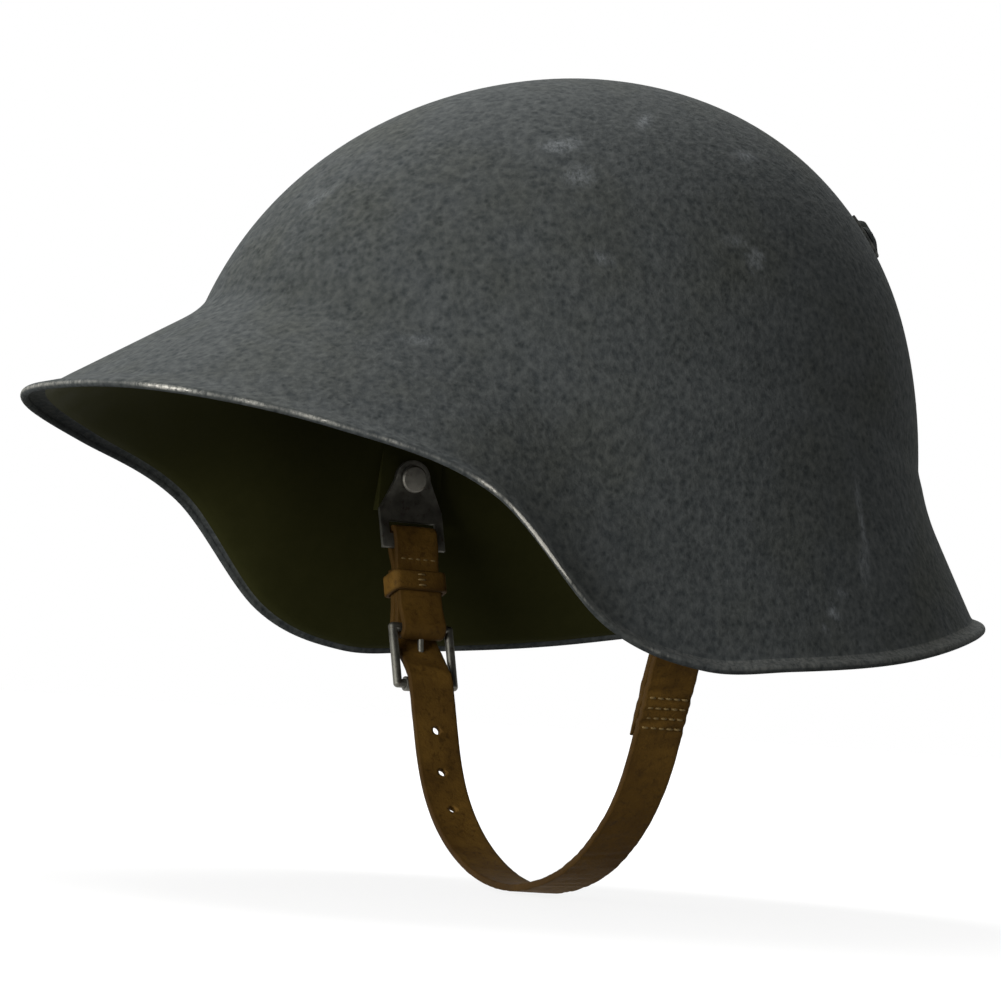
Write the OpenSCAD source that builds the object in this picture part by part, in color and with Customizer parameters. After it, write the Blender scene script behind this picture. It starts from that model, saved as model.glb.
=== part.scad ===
// Deep steel helmet with a broad visor, a flared neck guard, a rear vent and a laced leather liner.
// Millimetres, +Z up. The front is -Y and the wearer's left is +X.
// The origin is the centre of the head opening, in the plane of the headband's lower edge.

/* [Skull of the shell] */
// Height of the crown
crown_z = 91; // [86:0.5:98]
// Half the skull's width
skull_side = 100; // [97:0.5:105]
// Reach of the skull to the front
skull_front = 124; // [119:0.5:128]
// Reach of the skull to the rear
skull_rear = 122.5; // [118:0.5:126]
// Squareness of the skull's plan, 2 is an ellipse
skull_square = 2.05; // [2:0.05:2.3]
// Fullness of the skull's side view
skull_full = 2.35; // [2.1:0.05:2.6]
// Height at which the skull is widest
skull_base_z = -43; // [-50:1:-36]
// How far the crown leans to the rear
crown_lean = 11.5; // [4:0.5:14]

/* [Flare and crease] */
// Height of the crease over the visor
crease_front_z = 7; // [0:0.5:12]
// Height of the crease at the sides
crease_side_z = -20; // [-26:0.5:-14]
// Height of the crease at the nape
crease_rear_z = -36; // [-42:0.5:-31]
// Width of the rounding of the crease at front and rear
crease_round = 6; // [4:0.5:10]
// Width of the rounding of the crease at the sides
crease_side_round = 12; // [8:0.5:14]

/* [Rim] */
// Reach of the visor's edge to the front
rim_front = 169.5; // [164:0.5:180]
// Reach of the neck guard's edge to the rear
rim_rear = 145.5; // [140:0.5:152]
// Half the width over the rim
rim_side = 122; // [119:0.5:126]
// Squareness of the visor's plan
visor_square = 2.45; // [2.1:0.05:2.5]
// Squareness of the neck guard's plan
neck_square = 2.15; // [2:0.05:2.4]
// Height of the rim at the front
rim_front_z = -24; // [-30:0.5:-20]
// Height of the rim over the brow
rim_brow_z = -26; // [-30:0.5:-22]
// Height of the rim beside the eye
rim_temple_z = -34; // [-40:0.5:-30]
// Height of the rim at the cheekbone
rim_cheek_z = -49; // [-56:0.5:-44]
// Height of the rim before the ear
rim_jaw_z = -83.5; // [-88:0.5:-78]
// Height of the rim under the ear
rim_ear_z = -94.5; // [-100:0.5:-90]
// Height of the rim at the neck's side
rim_neck_z = -88; // [-94:0.5:-83]
// Height of the rim behind the neck
rim_nape_z = -76; // [-82:0.5:-72]
// Height of the rim at the rear
rim_rear_z = -71; // [-76:0.5:-66]
// Width of the turned-out lip at the sides and rear
lip_w = 4.5; // [4:0.1:6]
// Width of the lip at the visor's front
lip_front_w = 10; // [5:0.5:11]
// How far the lip hangs below level, in degrees
lip_droop = 15; // [5:1:25]
// Radius of the folded hem on the lip
hem_r = 1.3; // [1.25:0.05:1.5]
// Radius scale of the bend into the lip
lip_bend = 1.6; // [1:0.1:1.8]

/* [Sheet] */
// Thickness of the shell's steel
steel_t = 1.2; // [1:0.05:1.25]

/* [Rear vent] */
// Height of the middle of the vent hood
hood_z = 48.5; // [41:0.5:50]
// Half the hood's width
hood_half_w = 36; // [32:0.5:40]
// Height of the hood
hood_h = 12.5; // [11:0.5:16]
// How far the hood stands off the shell
hood_rise = 3.5; // [2:0.1:4.5]
// Thickness of the hood's sheet
hood_t = 1; // [0.8:0.05:1.2]
// Width of the hood's flat flange at each end
hood_flange = 7; // [6.5:0.5:10]
// Length over which the hood rises from its flange
hood_ramp = 4; // [3:0.5:8]
// Radius of a vent hole
vent_r = 2.5; // [2:0.1:3]
// Spacing of the vent holes along the shell
vent_pitch = 14; // [10:0.5:16]
// Radius of a hood rivet's shank
hood_rivet_r = 1.5; // [1.2:0.05:1.8]
// Radius of a hood rivet's head
hood_rivet_head_r = 3.1; // [2.6:0.1:3.2]
// Height of a hood rivet's head
hood_rivet_head_h = 1.7; // [1.4:0.1:2]
// Thickness of a hood rivet's clenched tail
hood_rivet_tail_h = 0.9; // [0.7:0.05:1.1]

/* [Headband] */
// Half the inner width of the leather band
head_side = 80; // [77:0.5:82]
// Inner reach of the band to the front
head_front = 98; // [94:0.5:101]
// Inner reach of the band to the rear
head_rear = 102; // [98:0.5:104]
// Squareness of the head oval
head_square = 2.15; // [2:0.05:2.3]
// Thickness of the liner's leather
leather_t = 2; // [1.6:0.1:2.4]
// Height of the leather band up to the roots of its tongues
band_h = 21; // [20:0.5:23]
// Rise of the tongues above the band
tongue_rise = 40; // [36:0.5:44]
// Share of a tongue's pitch that tapers away
tongue_taper = 0.27; // [0.2:0.01:0.34]
// Angle up the crown at which the tongues end
tongue_end = 75; // [70:1:77]
// Radius of the lace hole in each tongue
lace_hole_r = 2.6; // [2.4:0.1:2.8]

/* [Liner ring] */
// Thickness of the sheet metal ring
ring_t = 0.8; // [0.6:0.05:1]
// Height of the ring's lower edge
ring_low_z = 5; // [4:0.5:6]
// Height of the ring's upper edge
ring_top_z = 18; // [17:0.5:19]
// Radius of the liner rivets' shanks
band_rivet_r = 1.4; // [1.2:0.05:1.6]
// Radius of the liner rivets' heads
band_rivet_head_r = 2.8; // [2.4:0.1:3]
// Height of the liner rivets' heads
band_rivet_head_h = 1.2; // [0.9:0.05:1.4]
// Thickness of the liner rivets' clenched tails
band_rivet_tail_h = 0.8; // [0.6:0.05:1]

/* [Liner lugs and pads] */
// Thickness of a liner lug's sheet
lug_t = 1.2; // [1:0.05:1.4]
// Half the width of a liner lug
lug_half_w = 7; // [6:0.5:8]
// Height of a lug's floor
lug_low_z = 6.5; // [6:0.5:8]
// Height of a lug's foot on the shell
lug_foot_h = 15; // [13:0.5:16]
// Height of a lug's tab on the ring
lug_tab_h = 10.5; // [10:0.5:11]
// Half the width of a spacer pad
pad_half_w = 24; // [20:0.5:26]
// Height of a pad's lower edge
pad_low_z = 9; // [8:0.5:11]
// Height of a pad's upper edge
pad_top_z = 22; // [19:0.5:23]

/* [Lace] */
// Radius of the crown lace
lace_r = 1; // [0.9:0.05:1.1]
// Radius of the knot
knot_r = 3; // [2.6:0.1:3.4]

/* [Chin strap] */
// Height of the strap pins' axis
strap_pin_z = -36; // [-40:0.5:-33]
// Place of the strap pins' axis behind the origin
strap_y = 2; // [-2:0.5:6]
// Width of the strap
strap_w = 16; // [14:0.5:18]
// Thickness of the strap's leather
strap_t = 2.2; // [2:0.1:2.4]
// Height of the lowest point of the strap's middle line
strap_low_z = -167; // [-172:0.5:-160]
// Height of the curved bottom of the strap
strap_bow_h = 62; // [54:0.5:68]
// Lean of the strap's straight sides, in degrees
strap_lean = 20; // [18:0.5:22]
// Length over which the left end is folded back
fold_l = 60; // [50:1:66]

/* [Strap lugs, pins and hangers] */
// Thickness of a strap lug at its pin
strap_lug_t = 2.2; // [1.8:0.1:2.6]
// Half the width of a strap lug
strap_lug_half_w = 11; // [10:0.5:13]
// Half the height of a strap lug
strap_lug_half_h = 11; // [10:0.5:12]
// Radius of a pin's shank in its lug
pin_shank_r = 2; // [1.8:0.1:2.3]
// Radius of a pin's shoulder, on which the hanger turns
pin_r = 3; // [2.8:0.1:3.3]
// Radius of a pin's head
pin_head_r = 4.6; // [4.2:0.1:5]
// Thickness of a pin's head
pin_head_t = 1.4; // [1.2:0.1:1.6]
// Thickness of a hanger's sheet
hanger_t = 1.5; // [1.3:0.05:1.6]
// Radius of the hanger round its eye
hanger_eye_r = 6.5; // [6:0.1:7.5]
// Distance from the pin's axis to the hanger's bend
hanger_bend = 11; // [10:0.5:13]
// Width of metal beside the strap slot
hanger_arm = 3; // [2.5:0.1:4]
// Height of the bar that carries the strap
hanger_bar = 5; // [4:0.1:6]

/* [Buckle] */
// Radius of the buckle's wire
wire_r = 1.5; // [1.3:0.05:1.6]
// Distance from the hanger's bend to the heel bar
heel_at = 42; // [40:0.5:44]
// Distance from the heel bar to the roller bar
frame_l = 20; // [19:0.5:22]
// Thickness of the roller's tube
roller_t = 0.9; // [0.7:0.05:1]
// Radius of the prong
prong_r = 1; // [0.9:0.05:1.1]
// Length of the keeper along the strap
keeper_l = 7; // [5:0.5:8]
// Thickness of the keeper's leather
keeper_t = 1.6; // [1.4:0.1:1.8]
// Start of the prong's slot in the strap, from the heel bar
prong_slot_at = 3.4; // [3:0.1:4]
// Length of the prong's slot between its round ends
prong_slot_l = 8.6; // [8:0.1:10]

/* [Clearances] */
// Gap between curved pieces that seat on each other
seat_gap = 0.3; // [0.25:0.01:0.35]
// Radial clearance of a rivet in its hole
rivet_gap = 0.08; // [0.05:0.01:0.1]
// Radial clearance of a turning fit
turn_gap = 0.06; // [0.04:0.01:0.08]
// Side play of a turning fit, and gap between plies of strap
play = 0.3; // [0.25:0.01:0.4]

/* [Hidden] */

steel_paint = "#3e4243";
bare_steel = "#8d8f8c";
liner_brown = "#4a3322";
strap_brown = "#4f3017";
pad_grey = "#6d6a5e";
cord_tan = "#a08a62";

shell_columns = 72;
crown_rows = 14;
crown_rows_inside = 13;
crown_start = 12;
crease_drops = [7, 3.5, 1, -1.5, -4.5, -8];
crease_drops_inside = [-8, -2, 4];
flare_start = 11;
flare_end = 3.5;
flare_fade = 20;
column_step = 360 / shell_columns;
tongues = 9;
tongue_pitch = 360 / tongues;
tongue_cells = 6;
cell = tongue_pitch / tongue_cells;
slope_step = 0.4;
revolve_fn = 48;
tail_inset = 0.5;
cut_extra = 1;

// Azimuths run from the front over the wearer's left; these are rim heights at azimuths.
rim_line = [
    [0, rim_front_z], [20, rim_brow_z], [38, rim_temple_z], [55, rim_cheek_z], [70, rim_jaw_z],
    [85, rim_ear_z], [100, (rim_ear_z * 3 + rim_neck_z) / 4], [120, rim_neck_z],
    [150, rim_nape_z], [180, rim_rear_z]
];

// Small helpers
function unit(v) = v / norm(v);
function flat(list) = [for (row = list) for (item = row) item];
function smooth(t) = let (c = max(0, min(1, t))) c * c * (3 - 2 * c);
function mix(a, b, t) = a + (b - a) * t;
function oval(a, front, rear, side, n) =
    pow(pow(abs(sin(a)) / side, n) + pow(abs(cos(a)) / (cos(a) > 0 ? front : rear), n), -1 / n);

// A smooth line through [place, value] pairs, level at both ends
function line_slope(line, i) = (i == 0 || i == len(line) - 1) ? 0
    : (line[i + 1][1] - line[i - 1][1]) / (line[i + 1][0] - line[i - 1][0]);
function line_at(line, x) =
    let (i = max([for (k = [0 : len(line) - 2]) if (line[k][0] <= x) k]),
         h = line[i + 1][0] - line[i][0],
         t = (x - line[i][0]) / h,
         t2 = t * t,
         t3 = t2 * t)
    (2 * t3 - 3 * t2 + 1) * line[i][1] + (t3 - 2 * t2 + t) * h * line_slope(line, i)
    + (3 * t2 - 2 * t3) * line[i + 1][1] + (t3 - t2) * h * line_slope(line, i + 1);

// The shell's outer surface. A meridian holds what is constant along one azimuth.
function fold_azimuth(a) = let (b = ((a % 360) + 360) % 360) b > 180 ? 360 - b : b;
function rim_r(a) = oval(a, rim_front, rim_rear, rim_side, cos(a) > 0 ? visor_square : neck_square);
function rim_z(a) = line_at(rim_line, fold_azimuth(a));
function crease_z(a) =
    crease_side_z + ((cos(a) > 0 ? crease_front_z : crease_rear_z) - crease_side_z) * pow(cos(a), 2);
function crown_share(z) = max(0, min(1, (z - skull_base_z) / (crown_z - skull_base_z)));
function dome_share(z) = sqrt(max(0, 1 - pow(crown_share(z), skull_full)));
function lean(z) = crown_lean * pow(crown_share(z), 2);

function lip_reach(a) = cos(a) > 0 ? mix(lip_w, lip_front_w, pow(cos(a), 2)) : lip_w;

function meridian(a) =
    let (plan_r = oval(a, skull_front, skull_rear, skull_side, skull_square),
         lip = lip_reach(a),
         root_r = rim_r(a) - lip,
         root_z = rim_z(a) + hem_r + lip * tan(lip_droop),
         bend_z = max(crease_z(a), root_z + 10),
         bend_r = plan_r * dome_share(bend_z))
    [a, plan_r, root_r, root_z, bend_z, bend_r,
     mix(crease_side_round, crease_round, pow(cos(a), 2)), lip];
function shell_r(m, z) =
    let (dome = m[1] * dome_share(z),
         above = max(0, z - m[4]),
         cone = m[5] + (m[2] - m[5]) * (m[4] - z) / (m[4] - m[3]) - above * above / flare_fade,
         round = max(0, m[6] - abs(dome - cone)) / m[6])
    max(dome, cone) + round * round * m[6] / 4;
function on_meridian(m, z) =
    let (r = shell_r(m, z)) [r * sin(m[0]), -r * cos(m[0]) + lean(z), z];

// A station is three neighbouring meridians, so that the surface has a true normal there.
function station(a) = [meridian(a - slope_step), meridian(a), meridian(a + slope_step)];
function skin_normal(s, z) =
    let (step = min(slope_step, (crown_z - z) / 4))
    unit(cross(on_meridian(s[2], z) - on_meridian(s[0], z),
               on_meridian(s[1], z + step) - on_meridian(s[1], z - step)));
function skin(s, z, off) =
    off == 0 ? on_meridian(s[1], z) : on_meridian(s[1], z) + off * skin_normal(s, z);

// Rows of heights down one meridian, close together at the crease
function crown_heights(m, rows) =
    let (low = m[4] + crown_start) [for (i = [1 : rows]) low + (crown_z - low) * cos(90 * i / rows)];
function crease_heights(m, drops) = [for (d = drops) m[4] + d];
function flare_heights(m, rows) =
    let (low = m[3] + flare_end, high = max(m[4] - flare_start, low + 0.5))
    [for (i = [1 : rows]) mix(high, low, i / rows)];

// The lip and its hem, in the plane of one meridian
function meridian_point(a, p) = [p[0] * sin(a), -p[0] * cos(a) + lean(p[1]), p[1]];
function bend_curve(p0, p1, p2) =
    [for (t = [0, 0.5, 1]) (1 - t) * (1 - t) * p0 + 2 * t * (1 - t) * p1 + t * t * p2];
function lip_profile(m) =
    let (root = [m[2], m[3]],
         down = unit(root - [m[5], m[4]]),
         wall_out = [-down[1], down[0]],
         out = [cos(lip_droop), -sin(lip_droop)],
         up = [sin(lip_droop), cos(lip_droop)],
         hem = root + (m[7] / cos(lip_droop) - hem_r) * out - hem_r * up,
         inside = root - steel_t * (wall_out + up) / (1 + wall_out * up),
         inner_bend = lip_bend + steel_t / 2)
    concat(bend_curve(root - lip_bend * down, root, root + lip_bend * out),
           [for (t = [0 : 45 : 270]) hem + hem_r * (cos(t) * up + sin(t) * out)],
           bend_curve(inside + inner_bend * out, inside, inside - inner_bend * down));

function shell_column(a) =
    let (s = station(a),
         m = s[1],
         outer = concat(crown_heights(m, crown_rows), crease_heights(m, crease_drops), flare_heights(m, 4)),
         flare = flare_heights(m, 2),
         inner = concat([flare[1], flare[0]], crease_heights(m, crease_drops_inside)),
         crown = crown_heights(m, crown_rows_inside))
    concat([for (z = outer) skin(s, z, 0)],
           [for (p = lip_profile(m)) meridian_point(a, p)],
           [for (z = inner) skin(s, z, -steel_t)],
           [for (i = [crown_rows_inside - 1 : -1 : 0]) skin(s, crown[i], -steel_t)]);

// Solids from grids of points

// Closed surface of revolution-like columns with a pole at each end
module spindle(columns, first, last) {
    n = len(columns);
    m = len(columns[0]);
    points = concat(flat(columns), [first, last]);
    faces = concat(
        [for (i = [0 : n - 1], j = [0 : m - 2])
            let (p = i * m + j, q = ((i + 1) % n) * m + j) each [[p, q, q + 1], [p, q + 1, p + 1]]],
        [for (i = [0 : n - 1]) [n * m, ((i + 1) % n) * m, i * m]],
        [for (i = [0 : n - 1]) [n * m + 1, i * m + m - 1, ((i + 1) % n) * m + m - 1]]);
    polyhedron(points, faces, convexity = 12);
}

// Slab between two grids of the same size: columns run with the azimuth, rows run up
module slab(outer, inner) {
    n = len(outer);
    m = len(outer[0]);
    k = n * m;
    faces = concat(
        [for (i = [0 : n - 2], j = [0 : m - 2])
            let (p = i * m + j, q = p + m)
            each [[p, p + 1, q + 1], [p, q + 1, q],
                  [k + p, k + q + 1, k + p + 1], [k + p, k + q, k + q + 1]]],
        [for (i = [0 : n - 2])
            let (p = i * m, q = p + m, t = m - 1)
            each [[p, q, k + q], [p, k + q, k + p],
                  [q + t, p + t, k + p + t], [q + t, k + p + t, k + q + t]]],
        [for (j = [0 : m - 2])
            let (p = j, q = (n - 1) * m + j)
            each [[p + 1, p, k + p], [p + 1, k + p, k + p + 1],
                  [q, q + 1, k + q + 1], [q, k + q + 1, k + q]]]);
    polyhedron(concat(flat(outer), flat(inner)), faces, convexity = 8);
}

// Bar of closed sections; caps lists the quads that close an end
module sections(loops, caps) {
    n = len(loops);
    m = len(loops[0]);
    faces = concat(
        [for (i = [0 : n - 2], j = [0 : m - 1])
            let (p = i * m + j, q = i * m + (j + 1) % m) each [[p, q, q + m], [p, q + m, p + m]]],
        [for (c = caps) each [[c[2], c[1], c[0]], [c[3], c[2], c[0]]]],
        [for (c = caps)
            let (k = (n - 1) * m)
            each [[k + c[0], k + c[1], k + c[2]], [k + c[0], k + c[2], k + c[3]]]]);
    polyhedron(flat(loops), faces, convexity = 8);
}

// Places its children on the shell with +Z along the outward normal
module on_skin(a, z, off) {
    s = station(a);
    n = skin_normal(s, z);
    translate(skin(s, z, off)) rotate([0, acos(n[2]), atan2(n[1], n[0])]) children();
}

// Domed rivet along +Z: its grip runs from 0 down to -grip, with a flat tail below
module rivet(head_r, shank_r, grip, tail_r, head_h, tail_h) {
    dome = [for (t = [0 : 15 : 90]) [head_r * cos(t), head_h * sin(t)]];
    rotate_extrude($fn = revolve_fn)
        polygon(concat([[0, -grip - tail_h], [tail_r, -grip - tail_h], [tail_r, -grip],
                        [shank_r, -grip], [shank_r, 0]], dome));
}

// Shell
vent_angle = vent_pitch / shell_r(meridian(180), hood_z) * 180 / PI;
hood_angle = hood_half_w / shell_r(meridian(180), hood_z) * 180 / PI;
hood_rivet_angle = (hood_half_w - hood_flange / 2) / shell_r(meridian(180), hood_z) * 180 / PI;
hood_rivet_azimuths = [180 - hood_rivet_angle, 180 + hood_rivet_angle];

module shell() {
    color(steel_paint)
    difference() {
        spindle([for (i = [0 : shell_columns - 1]) shell_column(i * column_step)],
                [0, crown_lean, crown_z], [0, crown_lean, crown_z - steel_t]);
        for (k = [-1 : 1])
            on_skin(180 + k * vent_angle, hood_z, -steel_t * 3)
                cylinder(h = steel_t * 6, r = vent_r, $fn = revolve_fn);
        for (a = hood_rivet_azimuths)
            on_skin(a, hood_z, -steel_t * 3)
                cylinder(h = steel_t * 6, r = hood_rivet_r + rivet_gap, $fn = revolve_fn);
    }
}

// Rear vent: a pressed hood, open below, on flat flanges
hood_columns = 9;
hood_rows = 6;
hood_shoulder = 0.25;
hood_tuck = 0.5;
hood_tuck_from = 0.6;
function hood_lift(across, down) =
    hood_rise * smooth((hood_half_w - hood_flange - abs(across) * hood_half_w) / hood_ramp)
    * smooth(down / hood_shoulder)
    * (1 - hood_tuck * smooth((down - hood_tuck_from) / (1 - hood_tuck_from)));
function hood_grid(off) =
    [for (i = [-hood_columns : hood_columns])
        let (s = station(180 + hood_angle * i / hood_columns))
        [for (j = [hood_rows : -1 : 0])
            let (down = j / hood_rows)
            skin(s, hood_z + hood_h * (0.5 - down), seat_gap + off + hood_lift(i / hood_columns, down))]];

module vent_hood() {
    color(steel_paint)
    difference() {
        slab(hood_grid(hood_t), hood_grid(0));
        for (a = hood_rivet_azimuths)
            on_skin(a, hood_z, -steel_t)
                cylinder(h = steel_t + hood_t * 4, r = hood_rivet_r + rivet_gap, $fn = revolve_fn);
    }
}

module vent_hood_rivets() {
    grip = seat_gap * 2 + hood_t + steel_t + seat_gap * 1.5;
    color(steel_paint)
    for (a = hood_rivet_azimuths)
        on_skin(a, hood_z, seat_gap * 2 + hood_t)
            rivet(hood_rivet_head_r, hood_rivet_r, grip, hood_rivet_head_r - tail_inset,
                  hood_rivet_head_h, hood_rivet_tail_h);
}

// Liner: head oval, with an offset outwards
function band_r(a, off) = oval(a, head_front + off, head_rear + off, head_side + off, head_square);
function band_point(a, z, off) = let (r = band_r(a, off)) [r * sin(a), -r * cos(a), z];
ring_off = leather_t + seat_gap;
pad_gap = seat_gap * 1.6;
ring_room = 10;
// Rivets sit in the middle of the band's flat cells
lug_angles = [6.5 * cell, 360 - 6.5 * cell, 180 - 6.5 * cell, 180 + 6.5 * cell];
band_rivet_angles = [for (a = lug_angles) each [a - 3 * cell, a + 3 * cell]];

module liner_ring() {
    azimuths = [for (i = [0 : tongues * tongue_cells - 1]) i * cell];
    loops = [for (a = azimuths)
        [band_point(a, ring_low_z, ring_off + ring_t), band_point(a, ring_top_z, ring_off + ring_t),
         band_point(a, ring_top_z, ring_off), band_point(a, ring_low_z, ring_off)]];
    n = len(loops);
    color(bare_steel)
    difference() {
        polyhedron(flat(loops),
                   [for (i = [0 : n - 1], j = [0 : 3])
                       let (p = i * 4 + j, q = i * 4 + (j + 1) % 4, u = ((i + 1) % n) * 4)
                       each [[p, q, u + (j + 1) % 4], [p, u + (j + 1) % 4, u + j]]],
                   convexity = 6);
        band_holes();
    }
}

// Radial axis at a liner rivet
rivet_z = (ring_low_z + ring_top_z) / 2;
module at_band(a, z, off) {
    before = band_point(a - cell / 2, z, 0);
    after = band_point(a + cell / 2, z, 0);
    along = unit(after - before);
    outward = [along[1], -along[0], 0];
    translate((before + after) / 2 + off * outward)
        rotate([0, 90, atan2(outward[1], outward[0])]) children();
}
module band_holes() {
    for (a = concat(lug_angles, band_rivet_angles))
        at_band(a, rivet_z, -leather_t * 2)
            cylinder(h = leather_t * 6, r = band_rivet_r + rivet_gap, $fn = revolve_fn);
}

module liner_rivets(angles, outside) {
    reach = ring_off + ring_t + outside;
    for (a = angles)
        at_band(a, rivet_z, -seat_gap)
            mirror([0, 0, 1])
                rivet(band_rivet_head_r, band_rivet_r, reach + seat_gap * 2, band_rivet_head_r - tail_inset,
                      band_rivet_head_h, band_rivet_tail_h);
}
module liner_lug_rivets() {
    color(bare_steel) liner_rivets(lug_angles, seat_gap + lug_t);
}
module liner_band_rivets() {
    color(bare_steel) liner_rivets(band_rivet_angles, 0);
}

// Welded channel between the shell and the ring
module liner_lug(a0) {
    ring_face = ring_off + ring_t + seat_gap;
    half = lug_half_w / band_r(a0, ring_room) * 180 / PI;
    top = lug_low_z + lug_foot_h;
    tab = lug_low_z + lug_tab_h;
    floor_z = lug_low_z + lug_t;
    loops = [for (i = [-2 : 2])
        let (a = a0 + half * i / 2, s = station(a), wall = -steel_t - seat_gap)
        [band_point(a, lug_low_z, ring_face), skin(s, lug_low_z, wall), skin(s, top, wall),
         skin(s, top, wall - lug_t), skin(s, floor_z, wall - lug_t),
         band_point(a, floor_z, ring_face + lug_t), band_point(a, tab, ring_face + lug_t),
         band_point(a, tab, ring_face)]];
    color(steel_paint)
    difference() {
        sections(loops, [[0, 1, 4, 5], [1, 2, 3, 4], [0, 5, 6, 7]]);
        band_holes_at(a0);
    }
}
module band_holes_at(a) {
    at_band(a, rivet_z, -leather_t * 2)
        cylinder(h = leather_t * 4 + lug_t * 2 + 2, r = band_rivet_r + rivet_gap, $fn = revolve_fn);
}
module liner_lug_front_left() { liner_lug(lug_angles[0]); }
module liner_lug_front_right() { liner_lug(lug_angles[1]); }
module liner_lug_rear_left() { liner_lug(lug_angles[2]); }
module liner_lug_rear_right() { liner_lug(lug_angles[3]); }

// Pad between the ring and the shell
module pad(a0) {
    half = pad_half_w / band_r(a0, ring_room) * 180 / PI;
    stations = [for (i = [-4 : 4]) station(a0 + half * i / 4)];
    heights = [for (j = [0 : 3]) mix(pad_low_z, pad_top_z, j / 3)];
    color(pad_grey)
    slab([for (s = stations) [for (z = heights) skin(s, z, -steel_t - pad_gap)]],
         [for (s = stations) [for (z = heights)
            band_point(s[1][0], z, ring_off + ring_t + pad_gap)]]);
}
module pad_front() { pad(0); }
module pad_rear() { pad(180); }
module pad_left() { pad(90); }
module pad_right() { pad(270); }

// Leather: a band with tongues that rise over the crown, one piece
function crown_point(a, up, off) =
    let (r = band_r(a, off) * cos(up))
    [r * sin(a), -r * cos(a) + crown_lean * 0.5 * pow(sin(up), 2), band_h + (tongue_rise + off) * sin(up)];
tongue_tip = 0.28;
tip_rise = 5;
function tongue_share(up) =
    1 - tongue_taper * pow(up / tongue_end, 0.4)
    - tongue_tip * smooth((up - tongue_end + tip_rise) / tip_rise);
tongue_ups = [7, 18, 30, 42, 54, tongue_end - 9, tongue_end - 4, tongue_end];
lace_up = tongue_end - 6;
band_rows = [0, ring_low_z, ring_top_z];

module liner_leather() {
    cols = tongues * tongue_cells;
    low = len(band_rows) + 1;
    high = len(tongue_ups);
    side = cols * low + tongues * (tongue_cells + 1) * high;
    // Point numbers: the band up to the tongues' roots, then each tongue by itself
    function band_id(c, r) = (c % cols) * low + r;
    function tongue_id(k, c, r) =
        r == 0 ? band_id(k * tongue_cells + c, low - 1)
        : cols * low + (k * (tongue_cells + 1) + c) * high + r - 1;
    first = -tongue_pitch / 2;
    function leather_points(off) = concat(
        [for (c = [0 : cols - 1])
            let (a = first + c * cell)
            each concat([for (z = band_rows) band_point(a, z, off)], [crown_point(a, 0, off)])],
        [for (k = [0 : tongues - 1], c = [0 : tongue_cells])
            each [for (up = tongue_ups)
                crown_point(tongue_pitch * (k + (c / tongue_cells - 0.5) * tongue_share(up)), up, off)]]);
    function quad(p, q, r, s) =
        [[p, q, r], [p, r, s], [p + side, r + side, q + side], [p + side, s + side, r + side]];
    function wall(p, q) = [[q, p, p + side], [q, p + side, q + side]];
    faces = concat(
        [for (c = [0 : cols - 1], r = [0 : low - 2])
            each quad(band_id(c, r), band_id(c, r + 1), band_id(c + 1, r + 1), band_id(c + 1, r))],
        [for (c = [0 : cols - 1]) each wall(band_id(c + 1, 0), band_id(c, 0))],
        [for (k = [0 : tongues - 1], c = [0 : tongue_cells - 1], r = [0 : high - 1])
            each quad(tongue_id(k, c, r), tongue_id(k, c, r + 1), tongue_id(k, c + 1, r + 1),
                      tongue_id(k, c + 1, r))],
        [for (k = [0 : tongues - 1], r = [0 : high - 1])
            each concat(wall(tongue_id(k, 0, r), tongue_id(k, 0, r + 1)),
                        wall(tongue_id(k, tongue_cells, r + 1), tongue_id(k, tongue_cells, r)))],
        [for (k = [0 : tongues - 1], c = [0 : tongue_cells - 1])
            each wall(tongue_id(k, c, high), tongue_id(k, c + 1, high))]);
    color(liner_brown)
    difference() {
        polyhedron(concat(leather_points(leather_t), leather_points(0)), faces, convexity = 20);
        band_holes();
        for (k = [0 : tongues - 1])
            translate(crown_point(k * tongue_pitch, lace_up, leather_t / 2))
                rotate(lace_hole_turn(k * tongue_pitch))
                    cylinder(h = leather_t * 4, r = lace_hole_r, center = true, $fn = revolve_fn);
    }
}

// Lace, woven in and out of the tongues near their tips
function crown_normal(a, up) =
    unit(cross(crown_point(a + 1, up, 0) - crown_point(a - 1, up, 0),
               crown_point(a, up + 1, 0) - crown_point(a, up - 1, 0)));
function lace_hole_turn(a) = let (n = crown_normal(a, lace_up)) [0, acos(n[2]), atan2(n[1], n[0])];
lace_stand = leather_t / 2 + lace_r + play;
function lace_point(a, side) =
    crown_point(a, lace_up, leather_t / 2) + side * lace_stand * crown_normal(a, lace_up);
lace_slant = 0.62;
lace_step = lace_hole_r * lace_slant / (head_rear * cos(lace_up)) * 180 / PI;
lace_start = 1;
lace_clear = 1.05;
lace_near = 0.9;
function lace_route() =
    [for (k = [lace_start : lace_start + tongues - 1])
        let (a = k * tongue_pitch, side = (k % 2 == 0) ? 1 : -1, d = lace_step)
        each [lace_point(a - tongue_pitch / 2, -side * lace_clear), lace_point(a - 3 * d, -side * lace_clear),
              lace_point(a - d, -side * lace_near), lace_point(a, 0),
              lace_point(a + d, side * lace_near), lace_point(a + 3 * d, side * lace_clear)]];

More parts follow.
